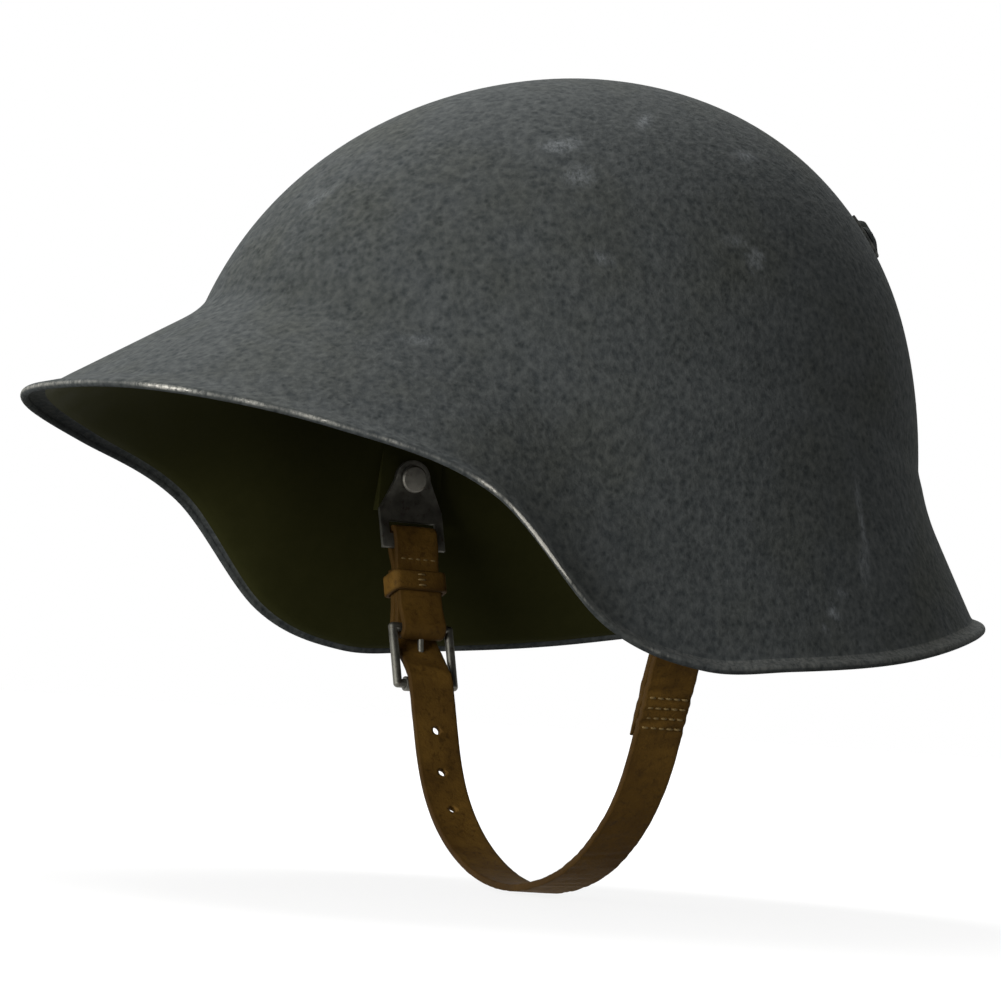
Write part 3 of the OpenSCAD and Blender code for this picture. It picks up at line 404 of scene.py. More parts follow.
def grit_lacquer():
    """Field lacquer with sawdust and grit stirred in, sprayed on steel: matt, dark, with soft pits 2.2 mm
    apart and specks down to 0.5 mm. It is scuffed grey where things scraped it. On the rim it goes pale and
    down to dull steel, partly from real wear and partly as a painted highlight along the hem's crest."""
    made, tree, shader, place = new_material("grit_lacquer", {"Specular IOR Level": 0.05})
    grit = add(tree, "TexNoise", {"Scale": per_mm(2.5), "Detail": 3, "Roughness": 0.55}, {"Vector": place})
    grains = add(tree, "TexVoronoi", {"Scale": per_mm(2.2), "Randomness": 1}, {"Vector": place})
    clumps = add(tree, "TexNoise", {"Scale": per_mm(8), "Detail": 2}, {"Vector": place})
    cloud = add(tree, "TexNoise", {"Scale": per_mm(45), "Detail": 3, "Roughness": 0.6}, {"Vector": place})
    pebble = add(tree, "Math", {"operation": "MULTIPLY_ADD", 1: 0.2},
                 {0: grains.outputs["Distance"], 2: grit.outputs[0]})
    height = add(tree, "MapRange", {"From Min": 0.34, "From Max": 0.82}, {"Value": pebble.outputs[0]})
    plain = add(tree, "Mix", {"data_type": "RGBA", UNDER: linear("#3d4142"), OVER: linear("#5b5e5d")},
                {0: height.outputs[0]})
    pits = add(tree, "MapRange", {"From Min": 0.1, "From Max": 0.42, "To Min": 1, "To Max": 0},
               {"Value": grains.outputs["Distance"]})
    crowded = add(tree, "MapRange", {"From Min": 0.38, "From Max": 0.62, "To Min": 0.03, "To Max": 0.38},
                  {"Value": clumps.outputs[0]})
    pit_share = add(tree, "Math", {"operation": "MULTIPLY"}, {0: pits.outputs[0], 1: crowded.outputs[0]})
    tint = add(tree, "Mix", {"data_type": "RGBA", OVER: linear("#2b2f2e")},
               {0: pit_share.outputs[0], UNDER: plain.outputs[MIXED]})
    warm_share = add(tree, "MapRange", {"From Min": 0.46, "From Max": 0.7, "To Max": 0.5},
                     {"Value": cloud.outputs[0]})
    warmed = add(tree, "Mix", {"data_type": "RGBA", "blend_type": "MULTIPLY", OVER: linear("#ece9d6")},
                 {0: warm_share.outputs[0], UNDER: tint.outputs[MIXED]})
    # Scuffs: pale, broken up by streaks finer than the grit
    streak_place = add(tree, "Mapping", {"Scale": (1, 1, 0.35)}, {"Vector": place})
    streaks = add(tree, "TexNoise", {"Scale": per_mm(1.1), "Detail": 4, "Roughness": 0.7},
                  {"Vector": streak_place.outputs[0]})
    scuff = add(tree, "Attribute", {"attribute_name": "scuff"})
    broken = add(tree, "MapRange", {"From Min": 0.4, "From Max": 0.58, "To Min": 0.15, "To Max": 1},
                 {"Value": streaks.outputs[0]})
    scuff_share = add(tree, "Math", {"operation": "MULTIPLY"},
                      {0: scuff.outputs["Fac"], 1: broken.outputs[0]})
    scuffed = add(tree, "Mix", {"data_type": "RGBA", OVER: linear("#85898b")},
                  {0: scuff_share.outputs[0], UNDER: warmed.outputs[MIXED]})
    # The rim is pale along its crest, and steel shows where the lacquer has gone: partly real wear, partly a
    # painted highlight where the hem's crest catches the light
    wear_and_highlight = add(tree, "Attribute", {"attribute_name": "wear_and_highlight"})
    rub_and_highlight_share = add(tree, "MapRange", {"From Min": 0.15, "From Max": 0.7, "To Max": 0.9},
                    {"Value": wear_and_highlight.outputs["Fac"]})
    rub_and_highlight_broken = add(tree, "Math", {"operation": "MULTIPLY"}, {0: rub_and_highlight_share.outputs[0], 1: broken.outputs[0]})
    rub_and_highlight_colour = add(tree, "Mix", {"data_type": "RGBA", OVER: linear("#cbc9bf")},
                 {0: rub_and_highlight_broken.outputs[0], UNDER: scuffed.outputs[MIXED]})
    chips = add(tree, "TexNoise", {"Scale": per_mm(1.9), "Detail": 4, "Roughness": 0.6}, {"Vector": place})
    wear_and_highlight_sum = add(tree, "Math", {"operation": "ADD"}, {0: wear_and_highlight.outputs["Fac"], 1: chips.outputs[0]})
    bare_and_highlight = add(tree, "MapRange", {"From Min": 1.05, "From Max": 1.2}, {"Value": wear_and_highlight_sum.outputs[0]})
    colour = add(tree, "Mix", {"data_type": "RGBA", OVER: linear("#cdcac0")},
                 {0: bare_and_highlight.outputs[0], UNDER: rub_and_highlight_colour.outputs[MIXED]})
    rough = add(tree, "MapRange", {"To Min": 0.9, "To Max": 0.5}, {"Value": bare_and_highlight.outputs[0]})
    relief = add(tree, "Math", {"operation": "SUBTRACT"}, {0: height.outputs[0], 1: bare_and_highlight.outputs[0]})
    bump = add(tree, "Bump", {"Strength": 0.9, "Distance": 0.26 * MM}, {"Height": relief.outputs[0]})
    metal = add(tree, "Math", {"operation": "MULTIPLY", 1: 0.35}, {0: bare_and_highlight.outputs[0]})
    connect(tree, shader, {"Base Color": colour.outputs[MIXED], "Metallic": metal.outputs[0],
                           "Roughness": rough.outputs[0], "Normal": bump.outputs[0]})
    return made


def inside_enamel_and_shade():
    """Brushed-on dark olive enamel inside the shell, without grit: almost black, a little mottled. Part of
    that darkness is painted shade: the enamel is drawn darker than it is, standing in for the shade a
    wearer's head casts inside the shell.
    """
    made, tree, shader, place = new_material("inside_enamel_and_shade", {"Specular IOR Level": 0.05})
    mottle = add(tree, "TexNoise", {"Scale": per_mm(9), "Detail": 5, "Roughness": 0.6}, {"Vector": place})
    fine = add(tree, "TexNoise", {"Scale": per_mm(0.9), "Detail": 2}, {"Vector": place})
    colour = add(tree, "Mix", {"data_type": "RGBA", UNDER: linear("#27270f"), OVER: linear("#37371b")},
                 {0: mottle.outputs[0]})
    rough = add(tree, "MapRange", {"To Min": 0.6, "To Max": 0.85}, {"Value": mottle.outputs[0]})
    bump = add(tree, "Bump", {"Strength": 0.25, "Distance": 0.1 * MM}, {"Height": fine.outputs[0]})
    connect(tree, shader, {"Base Color": colour.outputs[MIXED], "Roughness": rough.outputs[0],
                           "Normal": bump.outputs[0]})
    return made


def worked_steel(name, dark, light, rust, smoothness):
    """Sheet or wire steel that has been handled: dull, with brown specks of rust in its hollows."""
    made, tree, shader, place = new_material(name, {"Metallic": 0.9})
    wear = add(tree, "TexNoise", {"Scale": per_mm(3.5), "Detail": 5, "Roughness": 0.65}, {"Vector": place})
    fine = add(tree, "TexNoise", {"Scale": per_mm(0.5), "Detail": 3}, {"Vector": place})
    tone = add(tree, "Mix", {"data_type": "RGBA", UNDER: linear(dark), OVER: linear(light)},
               {0: wear.outputs[0]})
    spots = add(tree, "TexNoise", {"Scale": per_mm(1.8), "Detail": 4, "Roughness": 0.7}, {"Vector": place})
    rust_share = add(tree, "MapRange", {"From Min": 0.58, "From Max": 0.72, "To Max": 0.7},
                     {"Value": spots.outputs[0]})
    colour = add(tree, "Mix", {"data_type": "RGBA", OVER: linear(rust)},
                 {0: rust_share.outputs[0], UNDER: tone.outputs[MIXED]})
    rough = add(tree, "MapRange", {"To Min": smoothness, "To Max": smoothness + 0.3},
                {"Value": wear.outputs[0]})
    bump = add(tree, "Bump", {"Strength": 0.3, "Distance": 0.05 * MM}, {"Height": fine.outputs[0]})
    connect(tree, shader, {"Base Color": colour.outputs[MIXED], "Roughness": rough.outputs[0],
                           "Normal": bump.outputs[0]})
    return made


def tanned_leather(name, dark, light, edge, shine):
    """Bark-tanned cowhide: pebbled grain of about 0.8 mm, drawn a little coarse so that it shows, darker and
    smoother at its burnished edges."""
    made, tree, shader, place = new_material(name, {"Specular IOR Level": 0.12})
    hide = add(tree, "TexNoise", {"Scale": per_mm(14), "Detail": 5, "Roughness": 0.6}, {"Vector": place})
    pores = add(tree, "TexVoronoi", {"Scale": per_mm(0.8), "Randomness": 1}, {"Vector": place})
    creases = add(tree, "TexNoise", {"Scale": per_mm(2.2), "Detail": 5, "Roughness": 0.7, "Distortion": 0.6},
                  {"Vector": place})
    blend = add(tree, "MapRange", {"From Min": 0.3, "From Max": 0.7}, {"Value": hide.outputs[0]})
    tone = add(tree, "Mix", {"data_type": "RGBA", UNDER: linear(dark), OVER: linear(light)},
               {0: blend.outputs[0]})
    edges = add(tree, "Attribute", {"attribute_name": "edge"})
    crack_share = add(tree, "MapRange", {"From Min": 0.5, "From Max": 0.32, "To Max": 0.6},
                      {"Value": creases.outputs[0]})
    dirt = add(tree, "Math", {"operation": "MAXIMUM"}, {0: edges.outputs["Fac"], 1: crack_share.outputs[0]})
    colour = add(tree, "Mix", {"data_type": "RGBA", OVER: linear(edge)},
                 {0: dirt.outputs[0], UNDER: tone.outputs[MIXED]})
    rough = add(tree, "MapRange", {"To Min": shine, "To Max": shine + 0.25}, {"Value": creases.outputs[0]})
    relief = add(tree, "Math", {"operation": "ADD"}, {0: pores.outputs["Distance"], 1: creases.outputs[0]})
    bump = add(tree, "Bump", {"Strength": 0.5, "Distance": 0.12 * MM}, {"Height": relief.outputs[0]})
    connect(tree, shader, {"Base Color": colour.outputs[MIXED], "Roughness": rough.outputs[0],
                           "Normal": bump.outputs[0]})
    return made


def wool_felt():
    """Pressed wool felt: no weave, short fibres lying every way, soft sheen from the fibre ends."""
    made, tree, shader, place = new_material("wool_felt", {"Roughness": 0.95, "Specular IOR Level": 0.2,
                                                           "Sheen Weight": 0.35, "Sheen Roughness": 0.5})
    fibres = add(tree, "TexNoise", {"Scale": per_mm(0.7), "Detail": 5, "Roughness": 0.75, "Distortion": 2.2},
                 {"Vector": place})
    lumps = add(tree, "TexNoise", {"Scale": per_mm(6), "Detail": 3}, {"Vector": place})
    mixed = add(tree, "Math", {"operation": "MULTIPLY"}, {0: fibres.outputs[0], 1: lumps.outputs[0]})
    share = add(tree, "MapRange", {"From Min": 0.12, "From Max": 0.42}, {"Value": mixed.outputs[0]})
    colour = add(tree, "Mix", {"data_type": "RGBA", UNDER: linear("#4f4b40"), OVER: linear("#85806e")},
                 {0: share.outputs[0]})
    bump = add(tree, "Bump", {"Strength": 0.7, "Distance": 0.25 * MM}, {"Height": fibres.outputs[0]})
    connect(tree, shader, {"Base Color": colour.outputs[MIXED], "Normal": bump.outputs[0]})
    return made


def waxed_linen(name, dark, light):
    """Linen cord or thread drawn through wax: fine fibres 0.5 mm apart, slightly shiny."""
    made, tree, shader, place = new_material(name, {"Roughness": 0.7, "Specular IOR Level": 0.35})
    fibres = add(tree, "TexNoise", {"Scale": per_mm(0.5), "Detail": 4, "Roughness": 0.7}, {"Vector": place})
    colour = add(tree, "Mix", {"data_type": "RGBA", UNDER: linear(dark), OVER: linear(light)},
                 {0: fibres.outputs[0]})
    bump = add(tree, "Bump", {"Strength": 0.5, "Distance": 0.08 * MM}, {"Height": fibres.outputs[0]})
    connect(tree, shader, {"Base Color": colour.outputs[MIXED], "Normal": bump.outputs[0]})
    return made


GRIT_LACQUER = grit_lacquer()
# The inside's enamel, drawn darker as painted shade
INSIDE_ENAMEL_AND_SHADE = inside_enamel_and_shade()
TINNED_SHEET = worked_steel("tinned_sheet", "#6f6f69", "#a5a49a", "#5b4028", 0.38)
RIVET_STEEL = worked_steel("rivet_steel", "#5d5b55", "#8d8a80", "#4d3826", 0.4)
BLACKENED_STEEL = worked_steel("blackened_steel", "#45453f", "#85837a", "#463222", 0.36)
LINER_HIDE = tanned_leather("liner_cowhide", "#4c3320", "#7a5534", "#2c1c10", 0.5)
STRAP_HIDE = tanned_leather("strap_bridle_leather", "#553c17", "#7f5e27", "#33220a", 0.6)
LINEN_CORD = waxed_linen("linen_cord", "#7c6844", "#b39a6b")
LINEN_THREAD = waxed_linen("linen_thread", "#5d4a2c", "#94794d")
STRAP_THREAD = waxed_linen("strap_thread", "#6e5a30", "#9a8152")
PAD_FELT = wool_felt()


# Shell: one mesh of rings from the crown down the outside, round the hem and up the inside
SHELL_COLUMNS = 360
# Rings in each zone
CROWN_RINGS, CREASE_RINGS, FLARE_RINGS, INNER_FLARE_RINGS = 52, 26, 26, 14
ROOT_RINGS, HEM_RINGS, INNER_ROOT_RINGS = 6, 16, 5
# Degrees left open at the pole, and how far round the hem is folded
POLE_GAP, HEM_TURN = 2.5, 270
# Where the zones end: above or below the crease, and above the lip's root
CROWN_START, CREASE_REACH, FLARE_START = 12, 11, 12
FLARE_MIN_H, FLARE_END, INNER_FLARE_END = 4, 2.4, 3.5
# Spots along the rim where the paint is pale down to the steel: azimuth and half length in degrees, strength.
# They are partly real wear and partly a painted highlight where the rim catches the light
RIM_WEAR_AND_HIGHLIGHT = [(20, 4.5, 0.66), (-8, 14, 0.36), (40, 25, 0.1), (29.5, 2, 0.5), (36, 3, 0.45), (44, 1.5, 0.3),
            (54.5, 1.3, 0.75), (61, 4.5, 1.15), (78, 2, 0.2), (172, 4, 0.25), (-26, 6, 0.55), (-58, 4, 0.5),
            (-120, 5, 0.3), (4, 6, 0.25)]
# Paleness that goes all round, on the hem's crest and over the rest of the lip: partly rubbing, partly a
# painted highlight on the crest and lip where they face the light
CREST_RUB_AND_HIGHLIGHT, LIP_RUB_AND_HIGHLIGHT = 0.18, 0.22
# The lip's ring on the hem's crest, how many rings the rubbing and its painted highlight spread over, and
# more of them at a spot that goes down to steel
CREST_RING, CREST_SPREAD, SPOT_SPREAD = 10, 1.7, 0.8
# Scuffs: azimuth, height, half length, half width, tilt from level in degrees, strength
SCUFFS = [(54, 60, 7, 2.8, 32, 0.75), (60, 50, 5.5, 4, 35, 0.5), (76, 72, 6, 1.6, 60, 0.8),
          (108, 64.5, 5, 1.8, 10, 0.85), (97, 36, 8, 1.3, 5, 0.95), (100, 30, 5, 2.2, 40, 0.8),
          (66.5, 25, 1.6, 1.3, 0, 0.85), (68.5, 23, 1.4, 1.2, 0, 0.5), (120, -46, 14, 1.3, 86, 0.8),
          (118.5, -60, 6, 1.5, 84, 0.7), (110, -75, 2, 1.7, 0, 1.5), (112.5, -69, 2.2, 1.4, 30, 0.6),
          (108, -80.5, 1.6, 1.4, 0, 0.65), (-70, 45, 8, 3, 20, 0.5), (-40, 62, 7, 3, 60, 0.4),
          (-110, 10, 10, 1.6, 75, 0.45), (165, 20, 9, 2.5, 15, 0.4), (-150, -30, 8, 1.5, 80, 0.4),
          (10, 40, 7, 2.5, 50, 0.35), (40, -5, 6, 1.8, 15, 0.35), (200, 70, 8, 3, 30, 0.4),
          (150, 60, 6, 2, 65, 0.5)]
# Unevenness of hand-finished presswork: waves to a metre, and how high they are
UNEVEN_WAVES, UNEVEN_H = 22, 0.2


def lip_rings(a):
    """The lip and its hem in each meridian, as reach and height, and how many of its rings lie outside."""
    root_r, root_z = root_of(a)
    bend_z = bend_of(a)
    root = np.stack([root_r, root_z], -1)
    down = unit(root - np.stack([skull_plan(a) * dome_share(bend_z), bend_z], -1))
    wall_out = np.stack([-down[:, 1], down[:, 0]], -1)
    out = np.array([math.cos(LIP_DROOP), -math.sin(LIP_DROOP)])
    up = np.array([math.sin(LIP_DROOP), math.cos(LIP_DROOP)])
    hem = root + (lip_reach(a) / math.cos(LIP_DROOP) - HEM_R)[:, None] * out - HEM_R * up
    inside = root - STEEL_T * (wall_out + up) / (1 + wall_out @ up)[:, None]
    inner_bend = LIP_BEND + STEEL_T / 2

    def curve(p0, p1, p2, steps):
        return [(1 - t) ** 2 * p0 + 2 * t * (1 - t) * p1 + t * t * p2 for t in np.linspace(0, 1, steps)]

    rings = curve(root - LIP_BEND * down, root, root + LIP_BEND * out, ROOT_RINGS)
    rings += [hem + HEM_R * (math.cos(t) * up + math.sin(t) * out)
              for t in np.radians(np.linspace(0, HEM_TURN, HEM_RINGS))]
    outside = len(rings)
    rings += curve(inside + inner_bend * out, inside, inside - inner_bend * down, INNER_ROOT_RINGS)
    return rings, outside


def shell_rings(a):
    """All the rings, how many of them are the outer skin, and the first one that has the inside's enamel."""
    root_z, bend_z = root_of(a)[1], bend_of(a)
    low = bend_z + CROWN_START
    crown = [low + (CROWN_Z - low) * math.cos(t) for t in np.radians(np.linspace(POLE_GAP, 90, CROWN_RINGS))]
    crease = [bend_z + drop for drop in np.linspace(CREASE_REACH, -CREASE_REACH, CREASE_RINGS)]
    top = np.maximum(bend_z - FLARE_START, root_z + FLARE_MIN_H)
    flare = [top + (root_z + FLARE_END - top) * t for t in np.linspace(0, 1, FLARE_RINGS)]
    outside = crown + crease + flare
    inside = [top + (root_z + INNER_FLARE_END - top) * t for t in np.linspace(1, 0, INNER_FLARE_RINGS)]
    inside += crease[::-2] + crown[::-2]
    lip, lip_outside = lip_rings(a)
    rings = [skin(a, z, 0) for z in outside]
    rings += [np.stack([p[:, 0] * np.sin(a), -p[:, 0] * np.cos(a) + lean(p[:, 1]), p[:, 1]], -1) for p in lip]
    rings += [skin(a, z, -STEEL_T) for z in inside]
    return rings, len(outside), len(outside) + lip_outside


def rim_wear_and_highlight(a, ring_count, lip_start):
    """How far the paint has gone at each point, with a painted highlight carried in the same numbers: most on
    the hem's crest, and wider at the spots that go down to steel.
    """
    turn = np.degrees(a)
    spots = np.zeros(len(a))
    for middle, half, strength in RIM_WEAR_AND_HIGHLIGHT:
        apart = np.abs((turn - middle + 180) % 360 - 180)
        spots = np.maximum(spots, strength * np.exp(-(apart / half) ** 2))
    wear_and_highlight = np.zeros((ring_count, len(a)))
    crest = lip_start + CREST_RING
    spread = CREST_SPREAD + SPOT_SPREAD * np.maximum(spots - 0.5, 0)
    for k in range(-5, 9):
        wear_and_highlight[crest + k] = (CREST_RUB_AND_HIGHLIGHT + spots) * np.exp(-(k / spread) ** 2)
    lip = slice(lip_start + 2, crest + 1)
    wear_and_highlight[lip] = np.maximum(wear_and_highlight[lip], LIP_RUB_AND_HIGHLIGHT * (1 - 0.5 * np.maximum(np.cos(a), 0)))
    return wear_and_highlight


def scuff_marks(rings):
    """How far each point is scuffed: an oval patch for each scuff, fading towards its edge."""
    grid = np.asarray(rings)
    scuffed = np.zeros(grid.shape[:2])
    for azimuth, z, half_l, half_w, tilt, strength in SCUFFS:
        azimuth, tilt = math.radians(azimuth), math.radians(tilt)
        level = unit([math.cos(azimuth), math.sin(azimuth), 0])
        rise = unit(skin(azimuth, z + 1.0, 0) - skin(azimuth, z - 1.0, 0))
        along = math.cos(tilt) * level + math.sin(tilt) * rise
        across = math.cos(tilt) * rise - math.sin(tilt) * level
        apart = grid - on_shell(azimuth, np.array(float(z)))
        reach = (apart @ along / half_l) ** 2 + (apart @ across / half_w) ** 2
        close = np.linalg.norm(apart, axis=-1) < 3 * half_l
        scuffed = np.maximum(scuffed, np.where(close, strength * np.exp(-reach ** 2), 0))
    return scuffed


def make_uneven(obj, count):
    """Moves the first points of an object in and out along their normals."""
    co = np.asarray([v.co for v in obj.data.vertices])
    normals = np.asarray([v.normal for v in obj.data.vertices])[:count]
    wave = np.array([noise.noise(Vector(p * UNEVEN_WAVES)) for p in co[:count]])
    co[:count] += normals * (wave * UNEVEN_H * MM)[:, None]
    obj.data.vertices.foreach_set("co", co.astype(np.float32).ravel())


def vent_pegs():
    """Three pegs in a row under the hood, through the sheet."""
    pitch = VENT_PITCH / shell_r(math.pi, np.array(float(HOOD_Z)))
    pegs = []
    for azimuth in (math.pi - pitch, math.pi, math.pi + pitch):
        outward = skin(azimuth, HOOD_Z, 1) - skin(azimuth, HOOD_Z, 0)
        pegs.append(peg(skin(azimuth, HOOD_Z, -STEEL_T / 2), outward, VENT_R))
    return pegs


def build_shell():
    a = np.radians(np.arange(SHELL_COLUMNS) * 360 / SHELL_COLUMNS)
    rings, outer_count, first_inside = shell_rings(a)
    points, faces = loft(rings, ends="pole")
    obj = make_object("shell_pressing", points, faces, GRIT_LACQUER)
    obj.data.materials.append(INSIDE_ENAMEL_AND_SHADE)
    inner = np.zeros(len(faces), np.int32)
    inner[first_inside * SHELL_COLUMNS:(len(rings) - 1) * SHELL_COLUMNS] = 1
    inner[-SHELL_COLUMNS:] = 1
    obj.data.polygons.foreach_set("material_index", inner)
    poles = [0, 0]
    # Rim wear with a painted highlight along the hem's crest, for the material to read
    wear_and_highlight = rim_wear_and_highlight(a, len(rings), outer_count)
    mark(obj, "wear_and_highlight", np.concatenate([wear_and_highlight.ravel(), poles]))
    scuffed = scuff_marks(rings)
    scuffed[first_inside:] = 0
    mark(obj, "scuff", np.concatenate([scuffed.ravel(), poles]))
    make_uneven(obj, outer_count * SHELL_COLUMNS)
    cut(obj, vent_pegs())
    settle(obj, "root", "shell_paint", "shell")


# Rear vent hood: a pressed strip that stands off the shell and is open along its lower edge
HOOD_COLUMNS, HOOD_ROWS = 73, 25
# How far its paint has gone along its long edges and at its ends, and the rounding of its edges
HOOD_EDGE_WEAR, HOOD_END_WEAR, HOOD_EDGE_ROUND = 0.4, 0.35, 0.35


def build_hood():
    """Upright sections side by side: each sits on the shell at its top, rises over the vents and tucks in
    a little at its lower edge."""
    across = np.linspace(-1, 1, HOOD_COLUMNS)
    drop = np.linspace(1, 0, HOOD_ROWS)
    a = math.pi + across * HOOD_HALF_W / shell_r(math.pi, np.array(float(HOOD_Z)))
    inward = HOOD_HALF_W - HOOD_FLANGE - np.abs(across[:, None]) * HOOD_HALF_W
    tuck = 1 - HOOD_TUCK * smooth((drop - HOOD_TUCK_FROM) / (1 - HOOD_TUCK_FROM))
    profile = smooth(drop / HOOD_SHOULDER) * tuck
    lift = HOOD_RISE * smooth(inward / HOOD_RAMP) * profile[None, :]
    z = HOOD_Z + HOOD_H * (0.5 - drop[None, :])
    outer = skin(a[:, None], z, SEAT_GAP + HOOD_T + lift)
    inner = skin(a[:, None], z, SEAT_GAP + lift)
    loops = np.concatenate([outer, inner[:, ::-1]], axis=1)
    obj = make_object("vent_hood_pressing", *loft(loops, ends="strip"), GRIT_LACQUER)
    wear_and_highlight = np.zeros(loops.shape[:2])
    wear_and_highlight[:, [0, -1]] = HOOD_EDGE_WEAR
    wear_and_highlight[[0, -1], :] = HOOD_END_WEAR
    mark(obj, "wear_and_highlight", wear_and_highlight)
    mark(obj, "scuff", np.zeros(loops.shape[:2]))
    round_edges(obj, HOOD_EDGE_ROUND)
    settle(obj, "root", "shell_paint", "vent_hood")


# Liner: the head oval offset outwards. Its leather is a band whose upper part is cut into tongues.
TONGUE_PITCH = 2 * math.pi / TONGUES
TONGUE_CELLS = 20
LINER_COLUMNS = TONGUES * TONGUE_CELLS
BAND_ROWS = np.array([0, 0.8, 3, 6, 9, 12, 15, 18, BAND_H], float)
# Tips: how many degrees they are rounded over and how far they narrow. RISES are the rows' angles.
TIP_RISE, TIP_POINT, TAPER_BEND = 5, 0.75, 0.4
RISES = np.concatenate([[2, 4.5], np.linspace(8, TONGUE_END - TIP_RISE, 17),
                        TONGUE_END - np.array([3.5, 2, 0.8, 0])])
# How far the tongues' sides lift from the head, and how wavy they are
TONGUE_CUP, TONGUE_WAVE = 0.5, 0.35
# The band's dark lower edge: its height and its darkness, and the rounding of the leather's edges
BURNISHED_H, BURNISH, LEATHER_ROUND = 0.6, 0.8, 0.5


def band_r(a, off):
    """Reach of the head oval, with an offset outwards."""
    return oval(a, HEAD_FRONT + off, HEAD_REAR + off, HEAD_SIDE + off, HEAD_SQUARE)


def band_point(a, z, off):
    a, z = np.broadcast_arrays(np.asarray(a, float), np.asarray(z, float))
    r = band_r(a, off)
    return np.stack([r * np.sin(a), -r * np.cos(a), z + 0 * r], -1)


def crown_point(a, up, off):
    """A point on the tongues: up is the angle in degrees that they have risen."""
    a, up = np.broadcast_arrays(np.asarray(a, float), np.radians(np.asarray(up, float)))
    r = band_r(a, off) * np.cos(up)
    return np.stack([r * np.sin(a), -r * np.cos(a) + CROWN_LEAN * 0.5 * np.sin(up) ** 2,
                     BAND_H + (TONGUE_RISE + off) * np.sin(up)], -1)


def crown_normal(a, up):
    """Outward direction on the tongues."""
    turn = math.radians(1)
    return unit(np.cross(crown_point(a + turn, up, 0) - crown_point(a - turn, up, 0),
                         crown_point(a, up + 1, 0) - crown_point(a, up - 1, 0)))


def tongue_share(up):
    """Width of a tongue as a share of the pitch: it tapers and ends in a rounded tip."""
    tip = np.clip((up - TONGUE_END + TIP_RISE) / TIP_RISE, 0, 1)
    round_tip = np.sqrt(np.clip(1 - tip ** 2 * TIP_POINT, 0, 1))
    return (1 - TONGUE_TAPER * (up / TONGUE_END) ** TAPER_BEND) * round_tip


def liner_sheet(off):
    """One face of the leather: the band's points, then those of the cupped and slightly wavy tongues."""
    a = -TONGUE_PITCH / 2 + np.arange(LINER_COLUMNS) * TONGUE_PITCH / TONGUE_CELLS
    band = band_point(a[:, None], BAND_ROWS[None, :], off)
    shares = np.linspace(-0.5, 0.5, TONGUE_CELLS + 1)[:, None]
    tongues = []
    for k in range(TONGUES):
        a = TONGUE_PITCH * (k + shares * tongue_share(RISES)[None, :])
        cup = TONGUE_CUP * np.abs(2 * shares) ** 3 * smooth(RISES / 30)[None, :]
        wave = TONGUE_WAVE * np.sin(RISES / 9 + k * 1.7) * np.sin(shares * 5 + k) * smooth(RISES / 25)
        lift = (cup + wave)[..., None] * crown_normal(a, RISES[None, :])
        tongues.append(crown_point(a, RISES[None, :], off) + lift)
    return np.vstack([band.reshape(-1, 3), np.asarray(tongues).reshape(-1, 3)])


def liner_faces(back):
    """Faces of both sides of the leather and of its edges; the points of the inner side start at back."""
    low, high = len(BAND_ROWS), len(RISES)
    faces = []

    def band_id(c, r):
        return (c % LINER_COLUMNS) * low + r

    def tongue_id(k, c, r):
        if r == 0:
            return band_id(k * TONGUE_CELLS + c, low - 1)
        return LINER_COLUMNS * low + (k * (TONGUE_CELLS + 1) + c) * high + r - 1

    def quad(p, q, r, s):
        faces.extend([(s, r, q, p), (back + p, back + q, back + r, back + s)])

    def wall(p, q):
        faces.append((back + q, back + p, p, q))

    for c in range(LINER_COLUMNS):
        for r in range(low - 1):
            quad(band_id(c, r), band_id(c, r + 1), band_id(c + 1, r + 1), band_id(c + 1, r))
        wall(band_id(c + 1, 0), band_id(c, 0))
    for k in range(TONGUES):
        for c in range(TONGUE_CELLS):
            for r in range(high):
                quad(tongue_id(k, c, r), tongue_id(k, c, r + 1), tongue_id(k, c + 1, r + 1),
                     tongue_id(k, c + 1, r))
            wall(tongue_id(k, c, high), tongue_id(k, c + 1, high))
        for r in range(high):
            wall(tongue_id(k, 0, r), tongue_id(k, 0, r + 1))
            wall(tongue_id(k, TONGUE_CELLS, r + 1), tongue_id(k, TONGUE_CELLS, r))
    return faces


def build_liner():
    outer, inner = liner_sheet(LEATHER_T), liner_sheet(0)
    faces = liner_faces(len(outer))
    obj = make_object("liner_band_and_tongues", np.vstack([outer, inner]), faces, LINER_HIDE)
    holes = []
    for k in range(TONGUES):
        a = np.array(k * TONGUE_PITCH)
        holes.append(peg(crown_point(a, LACE_UP, LEATHER_T / 2), crown_normal(a, LACE_UP), LACE_HOLE_R))
    cut(obj, holes)
    heights = np.asarray([v.co.z for v in obj.data.vertices]) / MM
    mark(obj, "edge", np.where(heights < BURNISHED_H, BURNISH, 0.0))
    round_edges(obj, LEATHER_ROUND, 40)
    settle(obj, "root", "liner_leather", "liner_leather")


# Stitches round the band's lower edge, and the seam's rows, each some degrees from the middle of the rear
HEM_STITCHES, HEM_ROW_Z = 190, 2.6
SEAM_TURN, SEAM_LOW_Z, SEAM_TOP_Z, SEAM_STEP = 2.4, 5.5, 20, 3.2


